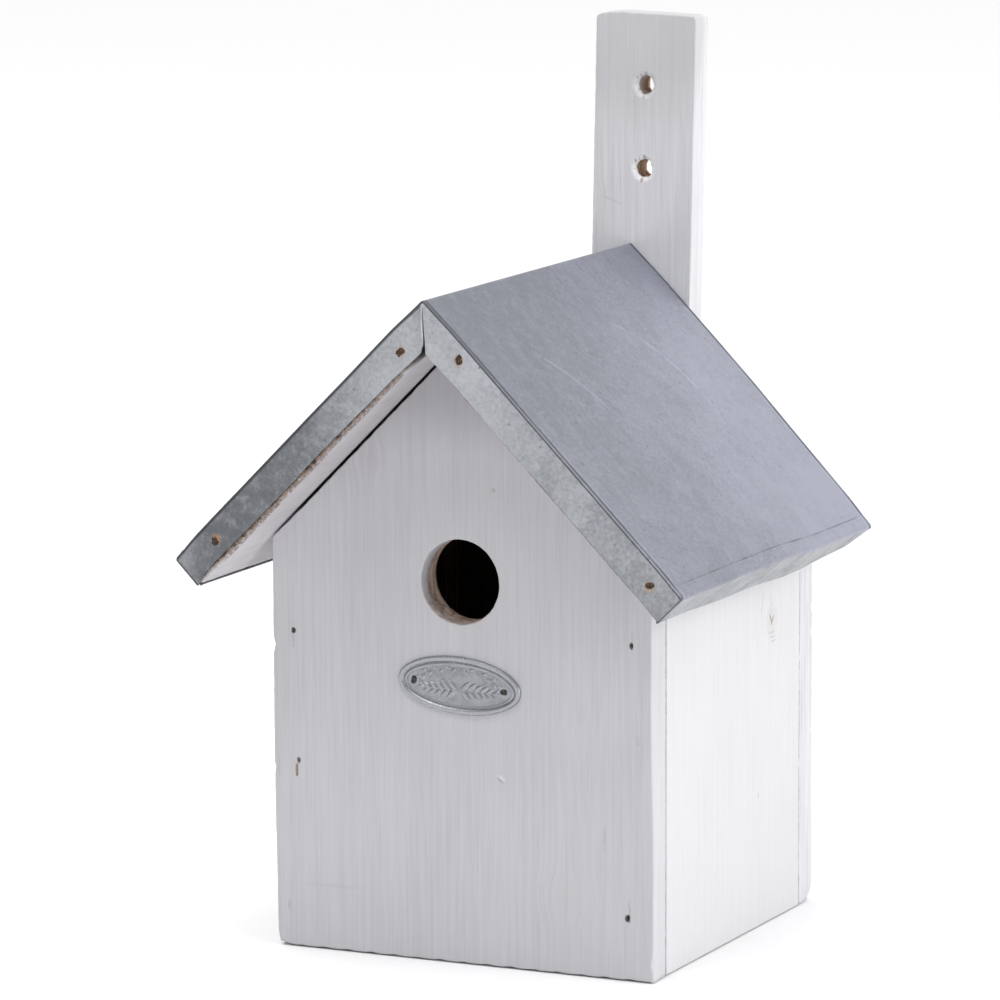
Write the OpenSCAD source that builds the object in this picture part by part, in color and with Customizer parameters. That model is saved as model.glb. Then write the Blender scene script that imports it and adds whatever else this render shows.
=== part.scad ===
// Bird nest box with a folded zinc roof and a hanging batten.
// Millimetres. The box stands on z = 0, the entrance faces -Y and the ridge runs along Y.
// Left and right are as seen by someone facing the entrance, so right is +X.
// The origin is under the middle of the whole object, at its base.

/* [Walls] */
// Width over the side panels
box_w = 138; // [110:1:200]
// Depth over the front and back panels
box_d = 138; // [110:1:200]
// Height of the walls at the eaves, where the roof boards rest on them
wall_h = 140; // [125:1:220]
// Thickness of the wall boards
wall_t = 12; // [9:0.5:18]
// Thickness of the floor board
floor_t = 12; // [9:0.5:18]
// Gap all round the floor board
floor_play = 0.3; // [0.1:0.1:0.8]
// Diameter of the drain holes in the floor
drain_d = 6; // [3:0.5:10]
// Distance of the drain holes from the walls
drain_in = 16; // [10:1:30]

/* [Entrance] */
// Diameter of the entrance hole
entrance_d = 28; // [24:1:45]
// Height of the middle of the entrance hole
entrance_up = 129; // [122:1:150]

/* [Oval plate] */
// Width of the oval plate
plate_w = 45; // [30:1:60]
// Height of the oval plate
plate_h = 19.5; // [14:0.5:24]
// Thickness of the plate's sheet
plate_t = 0.6; // [0.4:0.1:1]
// Width of the plate's raised rim
plate_rim_w = 2; // [1:0.25:3]
// Height of the rim above the plate's field
plate_rim_h = 0.4; // [0.2:0.1:0.8]
// Height of the middle of the plate
plate_up = 94.3; // [80:0.1:98]
// How far the plate is turned clockwise
plate_turn = 3; // [0:0.5:5]
// Distance of the plate's nails from its pointed ends
plate_nail_in = 6; // [4:0.5:9]

/* [Roof] */
// Pitch of both roof slopes
roof_pitch = 45; // [35:1:55]
// Thickness of the roof boards
roof_t = 12; // [9:0.5:18]
// How far the eaves reach out past the side panels
eave_reach = 23; // [15:1:40]
// How far the roof reaches out past the front panel
front_reach = 28; // [15:1:50]
// Width of the small flats planed on the boards' outer edges, clear of the folds
board_arris = 1; // [0.9:0.1:2]

/* [Zinc cover] */
// Thickness of the sheet
sheet_t = 0.6; // [0.4:0.1:1]
// Inside radius of the folds
fold_r = 0.8; // [0.4:0.1:0.9]
// Depth of the flanges folded over the ends of the roof boards
end_flange = 12; // [9:0.5:16]
// Depth of the flange folded over the left eave
left_flange = 12; // [8:0.5:18]
// Depth of the flange folded over the right eave
right_flange = 14; // [8:0.5:18]
// Gap between the end flanges where they meet under the ridge
ridge_gap = 0.6; // [0.2:0.1:2]
// Gap between the flanges and the edges of the boards
sheet_play = 0.2; // [0.1:0.1:0.5]

/* [Batten] */
// Width of the hanging batten
batten_w = 38; // [25:1:60]
// Thickness of the hanging batten
batten_t = 10.5; // [8:0.5:18]
// Length of the hanging batten
batten_len = 304; // [260:1:400]
// Height of the batten's lower end above the base
batten_lift = 2.5; // [1:0.5:20]
// How far the batten leans to the right, in degrees
batten_lean = 1.3; // [0:0.1:3]
// Height at which the leaning batten crosses the middle of the box
batten_pivot = 50; // [30:1:120]
// Radius of the batten's upper corners
batten_corner_r = 1.5; // [0.5:0.5:6]
// Diameter of the two hanging holes
hang_hole_d = 6.4; // [4:0.1:8]
// Diameter of the hanging holes at the front face, where they are countersunk
hang_sink_d = 9; // [8.5:0.5:12]
// Depth of that countersink
hang_sink_h = 1.4; // [0.5:0.1:3]
// Distance of the upper hanging hole from the top of the batten
hang_hole_down = 25; // [12:1:40]
// Distance between the hanging holes
hang_hole_pitch = 29; // [20:1:60]

/* [Nails and screws] */
// Diameter of the roof nails' heads
roof_nail_head_d = 2.8; // [2.2:0.1:5]
// Diameter of the roof nails' shanks
roof_nail_d = 1.6; // [1.2:0.1:2]
// Length of the roof nails under the head
roof_nail_len = 16; // [10:1:25]
// Thickness of the nail heads
nail_head_h = 0.7; // [0.4:0.1:1.2]
// Distance of the upper left nail from the ridge, down the slope
left_upper_nail = 18.5; // [14:0.5:30]
// Distance of the upper right nail from the ridge, down the slope
right_upper_nail = 22.8; // [14:0.1:30]
// Distance of the lower left nail from the eave fold, up the slope
left_lower_nail = 16; // [8:0.5:30]
// Distance of the lower right nail from the eave fold, up the slope
right_lower_nail = 10.5; // [8:0.5:30]
// Depth of the upper left nail below the roof's surface
left_nail_drop = 6.9; // [4:0.1:8]
// Depth of the upper right nail below the roof's surface
right_nail_drop = 4.3; // [4:0.1:8]
// Depth of the lower nails below the roof's surface
lower_nail_drop = 5.6; // [4:0.1:8]
// Gap between the rear upper nails and the batten
rear_nail_clear = 9; // [6:1:20]
// Diameter of the plate nails' heads
plate_nail_head_d = 2.2; // [1.8:0.1:3]
// Diameter of the plate nails' shanks
plate_nail_d = 1.2; // [0.9:0.1:1.5]
// Diameter of the batten screws
screw_d = 3.5; // [3:0.1:5]
// Diameter of the batten screws' heads
screw_head_d = 7; // [6.5:0.1:9]
// Height of the lowest batten screw above the pivot height, along the batten
screw_first = -20; // [-25:1:-5]
// Distance between the batten screws
screw_pitch = 65; // [30:1:70]
// Wood left ahead of the points of the plate nails and the batten screws
point_stop = 2.5; // [1:0.5:4]

/* [Staples] */
// Width over the legs of a staple
staple_w = 7; // [5:0.1:10]
// Length of a staple's legs
staple_leg = 22; // [16:1:30]
// Width of the staple wire, across the staple
wire_w = 1.2; // [0.8:0.1:1.6]
// Thickness of the staple wire, in the plane of the staple
wire_t = 1; // [0.7:0.1:1.2]
// Inside radius of a staple's bends
wire_bend_r = 0.4; // [0.2:0.1:0.8]
// How far the staples are driven below the wood's surface
staple_sink = 0.6; // [0:0.1:1.5]
// Heights of the lower and the middle staple in the left edges, up from the base
left_staple_up = [14, 62];
// Heights of the lower and the middle staple in the right edges, up from the base
right_staple_up = [23, 81];
// Distance of the top staple in the left edges below the eave
left_staple_down = 34; // [25:1:45]
// Distance of the top staple in the right edges below the eave
right_staple_down = 25; // [18:1:30]
// Distance of the floor staples from the corners of the box
floor_staple_in = 39; // [30:1:45]
// Distance of the roof staples from both ends of the gable slope
roof_staple_in = 22; // [16:1:30]

/* [Hidden] */

$fn = 48;
LEFT = -1;
RIGHT = 1;
paint = [0.77, 0.77, 0.80];
raw_wood = [0.72, 0.60, 0.46];
zinc = [0.62, 0.64, 0.70];
rust = [0.48, 0.30, 0.18];
steel = [0.50, 0.49, 0.47];

// Clearance round every fastener in its hole
fit_gap = 0.05;
// Gap between the batten and the rear flanges of the sheet
rear_gap = 0.1;
// How far cutting shapes run past the faces that they cut
over = 1;

gable_top = wall_h + box_w / 2 * tan(roof_pitch);
half_roof = box_w / 2 + eave_reach;
// Distances square to the slope are measured up from the underside of the roof boards,
// and distances down the slope from the peak of that underside.
skin_n = roof_t + sheet_t;
eave_s = (half_roof - skin_n * sin(roof_pitch)) / cos(roof_pitch);
ridge_s = -skin_n * tan(roof_pitch);
fold_out = fold_r + sheet_t;
fold_n = skin_n - fold_out;
eave_centre_s = eave_s - fold_out;
ridge_centre_s = -fold_n * tan(roof_pitch);
cover_front = -front_reach;
cover_rear = box_d - rear_gap;
gable_slope = box_w / 2 / cos(roof_pitch);
board_end_s = eave_s - sheet_t - sheet_play;
board_front = cover_front + sheet_t + sheet_play;
board_rear = cover_rear - sheet_t - sheet_play;
// Middle of the whole object's depth, over the front nail heads and the batten
mid_y = (box_d + batten_t + cover_front - nail_head_h) / 2;
left_staples = concat(left_staple_up, [wall_h - left_staple_down]);
right_staples = concat(right_staple_up, [wall_h - right_staple_down]);
inner_w = box_w - 2 * wall_t;
inner_d = box_d - 2 * wall_t;
screw_len = batten_t + wall_t - point_stop;
plate_nail_len = plate_t + wall_t - point_stop;
batten_low = batten_lift - batten_pivot;
batten_top = batten_low + batten_len;

// A nail or screw hole, with the fit gap, in place of a shank of this diameter
function hole_r(d) = d / 2 + fit_gap;

function ellipse_points(w, h, steps = 72) =
    [for (i = [0:steps - 1]) [w / 2 * cos(i * 360 / steps), h / 2 * sin(i * 360 / steps)]];

// Puts the walls' own y = 0, the outer face of the front panel, where it belongs
module in_place() {
    translate([0, -mid_y, 0]) children();
}

// Right-hand shapes as they are, or mirrored to the left
module on_side(side) {
    mirror([side < 0 ? 1 : 0, 0, 0]) children();
}

// Runs an outline drawn in x and z from y0 to y1
module along_y(y0, y1) {
    translate([0, y1, 0]) rotate([90, 0, 0]) linear_extrude(height = y1 - y0) children();
}

// Runs an outline drawn in y and z from x0 to x1
module along_x(x0, x1) {
    translate([x0, 0, 0]) rotate([90, 0, 90]) linear_extrude(height = x1 - x0) children();
}

// The right slope's own frame: x down the slope, z square to it, from the peak of the underside
module on_slope() {
    translate([0, 0, gable_top]) rotate([0, roof_pitch, 0]) children();
}

// A quarter of a folded edge, between +x and +y round the origin
module quarter_fold(inside_r, thickness) {
    intersection() {
        difference() {
            circle(r = inside_r + thickness);
            circle(r = inside_r);
        }
        square(inside_r + thickness + over);
    }
}

// Outline of a gabled end panel
module gable_outline() {
    polygon([
        [-box_w / 2, 0], [box_w / 2, 0], [box_w / 2, wall_h], [0, gable_top], [-box_w / 2, wall_h]
    ]);
}

// A staple's outline: crown along x from y = 0, legs along +y, all faces moved out by grow
module staple_outline(grow = 0) {
    half = staple_w / 2 + grow;
    wire = wire_t + 2 * grow;
    inside_r = wire_bend_r - grow;
    outside_r = inside_r + wire;
    translate([outside_r - half, -grow]) square([2 * (half - outside_r), wire]);
    for (m = [0, 1]) mirror([m, 0]) {
        translate([half - outside_r, outside_r - grow]) rotate(-90) quarter_fold(inside_r, wire);
        polygon([
            [half - wire, outside_r - grow], [half, outside_r - grow],
            [half, staple_leg - wire_t + grow], [half - wire, staple_leg + grow]
        ]);
    }
}

module staple() {
    translate([0, 0, -wire_w / 2]) linear_extrude(height = wire_w) staple_outline();
}

// The room that a driven staple takes, with the slot that its crown sinks through
module staple_room() {
    width = wire_w + 2 * fit_gap;
    half = staple_w / 2 + fit_gap;
    translate([0, 0, -width / 2]) linear_extrude(height = width) {
        staple_outline(fit_gap);
        translate([-half, -staple_sink - over]) {
            square([2 * half, staple_sink + over + wire_bend_r + wire_t]);
        }
    }
}

module at_front_staples(side) {
    for (up = side < 0 ? left_staples : right_staples) {
        on_side(side) translate([(box_w - wall_t) / 2, staple_sink, up]) rotate([0, -90, 0]) children();
    }
}

module at_rear_staples(side) {
    for (up = side < 0 ? left_staples : right_staples) {
        on_side(side) translate([(box_w - wall_t) / 2, box_d - staple_sink, up]) {
            mirror([0, 1, 0]) rotate([0, -90, 0]) children();
        }
    }
}

module at_rear_floor_staples() {
    for (side = [LEFT, RIGHT]) {
        translate([side * (box_w / 2 - floor_staple_in), box_d - staple_sink, floor_t / 2]) {
            mirror([0, 1, 0]) children();
        }
    }
}

module at_left_floor_staples() {
    for (y = [floor_staple_in, box_d - floor_staple_in]) {
        translate([staple_sink - box_w / 2, y, floor_t / 2]) rotate([180, 0, 90]) children();
    }
}

module at_roof_staples(side) {
    on_side(side) on_slope() {
        for (s = [roof_staple_in, gable_slope - roof_staple_in], y = [wall_t / 2, box_d - wall_t / 2]) {
            translate([s, y, roof_t - staple_sink]) rotate([-90, 0, 0]) children();
        }
    }
}

// A nail along +y, its head standing out before y = 0
module nail(head_d, shank_d, length) {
    edge = nail_head_h * 0.4;
    rotate([-90, 0, 0]) rotate_extrude() polygon([
        [0, -nail_head_h], [head_d * 0.32, -nail_head_h], [head_d / 2, -edge], [head_d / 2, 0],
        [shank_d / 2, 0], [shank_d / 2, length - 1.5 * shank_d], [0, length]
    ]);
}

// The hole for a nail's shank, open at its head
module nail_room(shank_d, length) {
    translate([0, -over, 0]) rotate([-90, 0, 0]) cylinder(r = hole_r(shank_d), h = length + over + fit_gap);
}

// Places of one side's nails in the front flange, as [down the slope, above the underside]
function front_nail_spots(side) = side < 0
    ? [[ridge_s + left_upper_nail, skin_n - left_nail_drop],
       [eave_s - left_lower_nail, skin_n - lower_nail_drop]]
    : [[ridge_s + right_upper_nail, skin_n - right_nail_drop],
       [eave_s - right_lower_nail, skin_n - lower_nail_drop]];

// The rear upper nail stands clear of the batten, which covers the middle of the rear flanges
function rear_nail_spots(side) =
    let (n = skin_n - lower_nail_drop)
    let (x = batten_w / 2 + rear_nail_clear)
    [[(x - n * sin(roof_pitch)) / cos(roof_pitch), n],
     [eave_s - (side < 0 ? left_lower_nail : right_lower_nail), n]];

module at_front_roof_nails(side) {
    on_side(side) on_slope() {
        for (spot = front_nail_spots(side)) translate([spot[0], cover_front, spot[1]]) children();
    }
}

module at_rear_roof_nails(side) {
    on_side(side) on_slope() {
        for (spot = rear_nail_spots(side)) {
            translate([spot[0], cover_rear, spot[1]]) mirror([0, 1, 0]) children();
        }
    }
}

// The plate's frame: x along its length, -y out of its face, on the front panel
module on_plate() {
    translate([0, 0, plate_up]) rotate([0, plate_turn, 0]) children();
}

module at_plate_nails() {
    for (side = [LEFT, RIGHT]) {
        on_plate() translate([side * (plate_w / 2 - plate_nail_in), -plate_t, 0]) children();
    }
}

// The batten's frame: z along it from the pivot, y from its front face to its back
module on_batten() {
    translate([0, box_d, batten_pivot]) rotate([0, batten_lean, 0]) children();
}

// A point before the batten's back face where a screw goes in, its length along -y
module at_batten_screws() {
    for (i = [0:2]) {
        on_batten() translate([0, batten_t, screw_first + i * screw_pitch]) rotate([90, 0, 0]) children();
    }
}

// A countersunk screw along +z from its flat head, all faces moved out by grow
module screw_body(grow = 0) {
    head_r = screw_head_d / 2 + grow;
    shank_r = screw_d / 2 + grow;
    rotate_extrude() polygon([
        [0, -grow], [head_r, -grow], [head_r, 0.3], [shank_r, 0.3 + head_r - shank_r],
        [shank_r, screw_len - screw_d + grow], [0, screw_len + grow]
    ]);
}

// Cross-shaped driver recess in a screw head
module cross_recess() {
    for (turn = [45, 135]) {
        rotate([0, 0, turn]) translate([-screw_d / 2, -0.45, -over]) cube([screw_d, 0.9, over + 1.6]);
    }
}

// The folded sheet of the right slope, seen along the ridge, with a quarter fold at the ridge
module slope_section(flange_h) {
    translate([ridge_centre_s, fold_n]) rotate(90) quarter_fold(fold_r, sheet_t);
    polygon([
        [ridge_centre_s, roof_t], [eave_centre_s, roof_t],
        [eave_centre_s, skin_n], [ridge_centre_s, skin_n]
    ]);
    translate([eave_centre_s, fold_n]) {
        quarter_fold(fold_r, sheet_t);
        translate([fold_r, fold_out - flange_h]) square([sheet_t, flange_h - fold_out]);
    }
}

// Place down the slope of the upright line under the ridge, at this height above the underside
function mitre_s(n) = (ridge_gap / 2 - n * sin(roof_pitch)) / cos(roof_pitch);

// The fold and the flange over one end of a roof board, at the front of the right slope, with
// the strip of the sheet that they hang from
module end_fold() {
    low_n = skin_n - end_flange;
    peak_s = mitre_s(fold_n);
    intersection() {
        along_x(mitre_s(low_n) - skin_n * tan(roof_pitch) - over, eave_s) {
            translate([cover_front, low_n]) square([sheet_t, end_flange - fold_out]);
            translate([cover_front + fold_out, fold_n]) rotate(90) quarter_fold(fold_r, sheet_t);
            translate([cover_front + fold_out, roof_t]) square([over, sheet_t]);
        }
        along_y(cover_front - over, cover_front + fold_out + 2 * over) {
            polygon([
                [peak_s, skin_n + over], [peak_s, fold_n], [mitre_s(low_n - over), low_n - over],
                [eave_s + over, low_n - over], [eave_s + over, fold_n], [eave_centre_s, fold_n],
                [eave_centre_s, skin_n + over]
            ]);
        }
    }
}

// Mirrors front shapes to the rear end of the roof
module at_rear_end() {
    translate([0, cover_front + cover_rear, 0]) mirror([0, 1, 0]) children();
}

module front_panel() {
    color(paint) in_place() difference() {
        along_y(0, wall_t) gable_outline();
        translate([0, -over, entrance_up]) rotate([-90, 0, 0]) cylinder(d = entrance_d, h = wall_t + 2 * over);
        at_plate_nails() nail_room(plate_nail_d, plate_nail_len);
        for (side = [LEFT, RIGHT]) {
            at_front_staples(side) staple_room();
            at_roof_staples(side) staple_room();
        }
    }
}

module back_panel() {
    color(paint) in_place() difference() {
        along_y(box_d - wall_t, box_d) gable_outline();
        for (side = [LEFT, RIGHT]) {
            at_rear_staples(side) staple_room();
            at_roof_staples(side) staple_room();
        }
        at_rear_floor_staples() staple_room();
        at_batten_screws() screw_body(fit_gap);
    }
}

module side_panel(side) {
    color(paint) in_place() difference() {
        on_side(side) along_y(wall_t, box_d - wall_t) polygon([
            [box_w / 2 - wall_t, 0], [box_w / 2, 0], [box_w / 2, wall_h],
            [box_w / 2 - wall_t, wall_h + wall_t * tan(roof_pitch)]
        ]);
        at_front_staples(side) staple_room();
        at_rear_staples(side) staple_room();
        if (side < 0) at_left_floor_staples() staple_room();
    }
}

module floor_panel() {
    size = [inner_w - 2 * floor_play, inner_d - 2 * floor_play, floor_t];
    corner = [-size[0] / 2, wall_t + floor_play, 0];
    color(raw_wood) in_place() difference() {
        translate(corner) cube(size);
        for (side = [LEFT, RIGHT], y = [wall_t + drain_in, box_d - wall_t - drain_in]) {
            translate([side * (inner_w / 2 - drain_in), y, -over]) cylinder(d = drain_d, h = floor_t + 2 * over);
        }
        at_rear_floor_staples() staple_room();
        at_left_floor_staples() staple_room();
    }
}

module roof_board(side) {
    ridge_cut = board_arris * sin(roof_pitch) * cos(roof_pitch);
    color(paint) in_place() difference() {
        on_side(side) on_slope() intersection() {
            along_y(board_front, board_rear) polygon([
                [0, 0], [board_end_s, 0], [board_end_s, roof_t - board_arris],
                [board_end_s - board_arris, roof_t], [board_arris - roof_t * tan(roof_pitch), roof_t],
                [(ridge_cut - roof_t) * tan(roof_pitch), roof_t - ridge_cut]
            ]);
            along_x(-2 * roof_t, board_end_s + over) polygon([
                [board_front, 0], [board_rear, 0], [board_rear, roof_t - board_arris],
                [board_rear - board_arris, roof_t], [board_front + board_arris, roof_t],
                [board_front, roof_t - board_arris]
            ]);
        }
        at_roof_staples(side) staple_room();
        at_front_roof_nails(side) nail_room(roof_nail_d, roof_nail_len);
        at_rear_roof_nails(side) nail_room(roof_nail_d, roof_nail_len);
    }
}

// The right half of the cover, up to the upright plane through the ridge
module half_cover(flange_h) {
    intersection() {
        on_slope() {
            along_y(cover_front + fold_out, cover_rear - fold_out) slope_section(flange_h);
            end_fold();
            at_rear_end() end_fold();
        }
        translate([0, cover_front - over, 0]) {
            cube([half_roof + over, cover_rear - cover_front + 2 * over, gable_top + 2 * roof_t]);
        }
    }
}

module roof_cover() {
    color(zinc) in_place() difference() {
        union() {
            half_cover(right_flange);
            on_side(LEFT) half_cover(left_flange);
        }
        for (side = [LEFT, RIGHT]) {
            at_front_roof_nails(side) nail_room(roof_nail_d, roof_nail_len);
            at_rear_roof_nails(side) nail_room(roof_nail_d, roof_nail_len);
        }
    }
}

module hanging_batten() {
    r = batten_corner_r;
    color(paint) in_place() difference() {
        on_batten() along_y(0, batten_t) translate([-batten_w / 2, batten_low]) {
            square([batten_w, batten_len - r]);
            translate([r, 0]) square([batten_w - 2 * r, batten_len]);
            for (x = [r, batten_w - r]) translate([x, batten_len - r]) circle(r = r);
        }
        for (i = [0, 1]) {
            on_batten() translate([0, 0, batten_top - hang_hole_down - i * hang_hole_pitch]) rotate([-90, 0, 0]) {
                translate([0, 0, -over]) cylinder(d = hang_hole_d, h = batten_t + 2 * over);
                cylinder(d1 = hang_sink_d, d2 = hang_hole_d, h = hang_sink_h);
            }
        }
        at_batten_screws() screw_body(fit_gap);
    }
}

module oval_plate() {
    color(zinc) in_place() difference() {
        on_plate() {
            along_y(-plate_t, 0) polygon(ellipse_points(plate_w, plate_h));
            along_y(-plate_t - plate_rim_h, 0) difference() {
                polygon(ellipse_points(plate_w, plate_h));
                polygon(ellipse_points(plate_w - 2 * plate_rim_w, plate_h - 2 * plate_rim_w));
            }
        }
        at_plate_nails() nail_room(plate_nail_d, plate_nail_len);
    }
}

module plate_nails() {
    color(rust) in_place() at_plate_nails() nail(plate_nail_head_d, plate_nail_d, plate_nail_len);
}

module front_roof_nails(side) {
    color(rust) in_place() at_front_roof_nails(side) nail(roof_nail_head_d, roof_nail_d, roof_nail_len);
}

module rear_roof_nails(side) {
    color(rust) in_place() at_rear_roof_nails(side) nail(roof_nail_head_d, roof_nail_d, roof_nail_len);
}

module front_staples(side) {
    color(steel) in_place() at_front_staples(side) staple();
}

module rear_staples(side) {
    color(steel) in_place() at_rear_staples(side) staple();
}

module rear_floor_staples() {
    color(steel) in_place() at_rear_floor_staples() staple();
}

module left_floor_staples() {
    color(steel) in_place() at_left_floor_staples() staple();
}

module roof_staples(side) {
    color(steel) in_place() at_roof_staples(side) staple();
}

module batten_screws() {
    color(steel) in_place() at_batten_screws() difference() {
        screw_body();
        cross_recess();
    }
}

front_panel();
back_panel();
side_panel(LEFT);  // left_side_panel
side_panel(RIGHT);  // right_side_panel
floor_panel();
roof_board(LEFT);  // left_roof_board
roof_board(RIGHT);  // right_roof_board
roof_cover();
hanging_batten();
oval_plate();
plate_nails();
front_roof_nails(LEFT);  // left_front_roof_nails
front_roof_nails(RIGHT);  // right_front_roof_nails
rear_roof_nails(LEFT);  // left_rear_roof_nails
rear_roof_nails(RIGHT);  // right_rear_roof_nails
front_staples(LEFT);  // left_front_staples
front_staples(RIGHT);  // right_front_staples
rear_staples(LEFT);  // left_rear_staples
rear_staples(RIGHT);  // right_rear_staples
rear_floor_staples();
left_floor_staples();
roof_staples(LEFT);  // left_roof_staples
roof_staples(RIGHT);  // right_roof_staples
batten_screws();
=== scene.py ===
"""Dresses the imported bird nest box: washed pine boards, a folded zinc roof, a pressed oval
plate and rusty fasteners, in a plain pale studio.

The classes hold their sizes in millimetres, in the frame's own axes: the entrance faces -Y,
+X is right as seen from the front, and z is 0 under the box. Meshes are written in metres.
"""
import logging
import math
from collections.abc import Callable, Sequence
from dataclasses import dataclass, field
from enum import Enum
from functools import cache, partial

import bmesh
import bpy
from mathutils import Matrix, Vector, noise


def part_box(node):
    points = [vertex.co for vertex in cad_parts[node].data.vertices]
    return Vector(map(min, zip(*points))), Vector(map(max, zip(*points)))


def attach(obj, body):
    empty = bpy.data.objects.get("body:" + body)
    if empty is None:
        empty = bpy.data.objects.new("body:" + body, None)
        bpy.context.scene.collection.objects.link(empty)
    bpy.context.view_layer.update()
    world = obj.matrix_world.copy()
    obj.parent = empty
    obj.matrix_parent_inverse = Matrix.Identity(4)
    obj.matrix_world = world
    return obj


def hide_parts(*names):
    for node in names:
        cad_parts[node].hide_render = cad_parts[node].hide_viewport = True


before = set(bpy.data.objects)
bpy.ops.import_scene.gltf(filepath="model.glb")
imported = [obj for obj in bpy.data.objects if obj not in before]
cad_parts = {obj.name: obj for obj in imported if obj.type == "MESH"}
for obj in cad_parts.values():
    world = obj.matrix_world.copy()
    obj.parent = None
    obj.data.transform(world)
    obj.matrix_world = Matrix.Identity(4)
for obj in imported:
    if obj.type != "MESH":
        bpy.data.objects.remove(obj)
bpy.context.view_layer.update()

MM = 0.001
PITCH = math.radians(45)
SIN, COS, TAN = math.sin(PITCH), math.cos(PITCH), math.tan(PITCH)
BODY = "root"
CROWN_GAP = 7.1  # parts one upright crown from the next in height
SHARP = math.radians(38)  # the angle from which the sheet's edges shade sharp

Colour = tuple[float, float, float]
Triple = tuple[float, float, float]
Socket = bpy.types.NodeSocket
Material = bpy.types.Material
Piece = bpy.types.Object
Mesh = bmesh.types.BMesh
Vert = bmesh.types.BMVert
Value = float | tuple[float, ...] | Socket
Placing = Callable[[float, float, float], Vector]

SHADOW: Colour = (0.012, 0.01, 0.01)
SHADE: Colour = (0.36, 0.355, 0.375)
STROKE: Colour = (0.42, 0.42, 0.44)
SCORE: Colour = (0.3, 0.28, 0.27)
GLINT: Colour = (0.92, 0.93, 0.94)

log = logging.getLogger("nest_box")


class Side(Enum):
    """The two sides of the box as seen by someone who faces the entrance."""

    LEFT = -1
    RIGHT = 1

    @property
    def prefix(self) -> str:
        """The word that this side's node names start with."""
        return self.name.lower()


class Grain(Enum):
    """The way that a board's grain runs in the frame."""

    UPRIGHT = 2
    DEPTH = 1

    def stretch(self, across: float, along: float) -> Triple:
        """Noise sizes for x, y and z that draw pattern out along the grain."""
        return tuple(along if axis == self.value else across for axis in range(3))


@cache
def span(node: str) -> tuple[Vector, Vector]:
    """Lowest and highest corner of a CAD node, in millimetres."""
    low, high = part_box(node)
    return low / MM, high / MM


def smooth(low: float, high: float, value: float) -> float:
    """Goes smoothly from 0 at low to 1 at high, which may be the smaller."""
    share = min(1.0, max(0.0, (value - low) / (high - low)))
    return share * share * (3 - 2 * share)


def hump(middle: float, width: float, value: float) -> float:
    """A bell of height 1 round a middle, gone about two widths away."""
    return math.exp(-(((value - middle) / width) ** 2))


def turned(u: float, v: float, angle: float) -> tuple[float, float]:
    """A point of a plane, turned clockwise about its origin."""
    cos, sin = math.cos(angle), math.sin(angle)
    return u * cos + v * sin, v * cos - u * sin


def ripple(point: Vector, size: float, seed: float) -> float:
    """Smooth noise from about -1 to 1, the same in every run."""
    return noise.noise(point / size + Vector((seed, 2.3 * seed, -1.7 * seed)))


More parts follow.
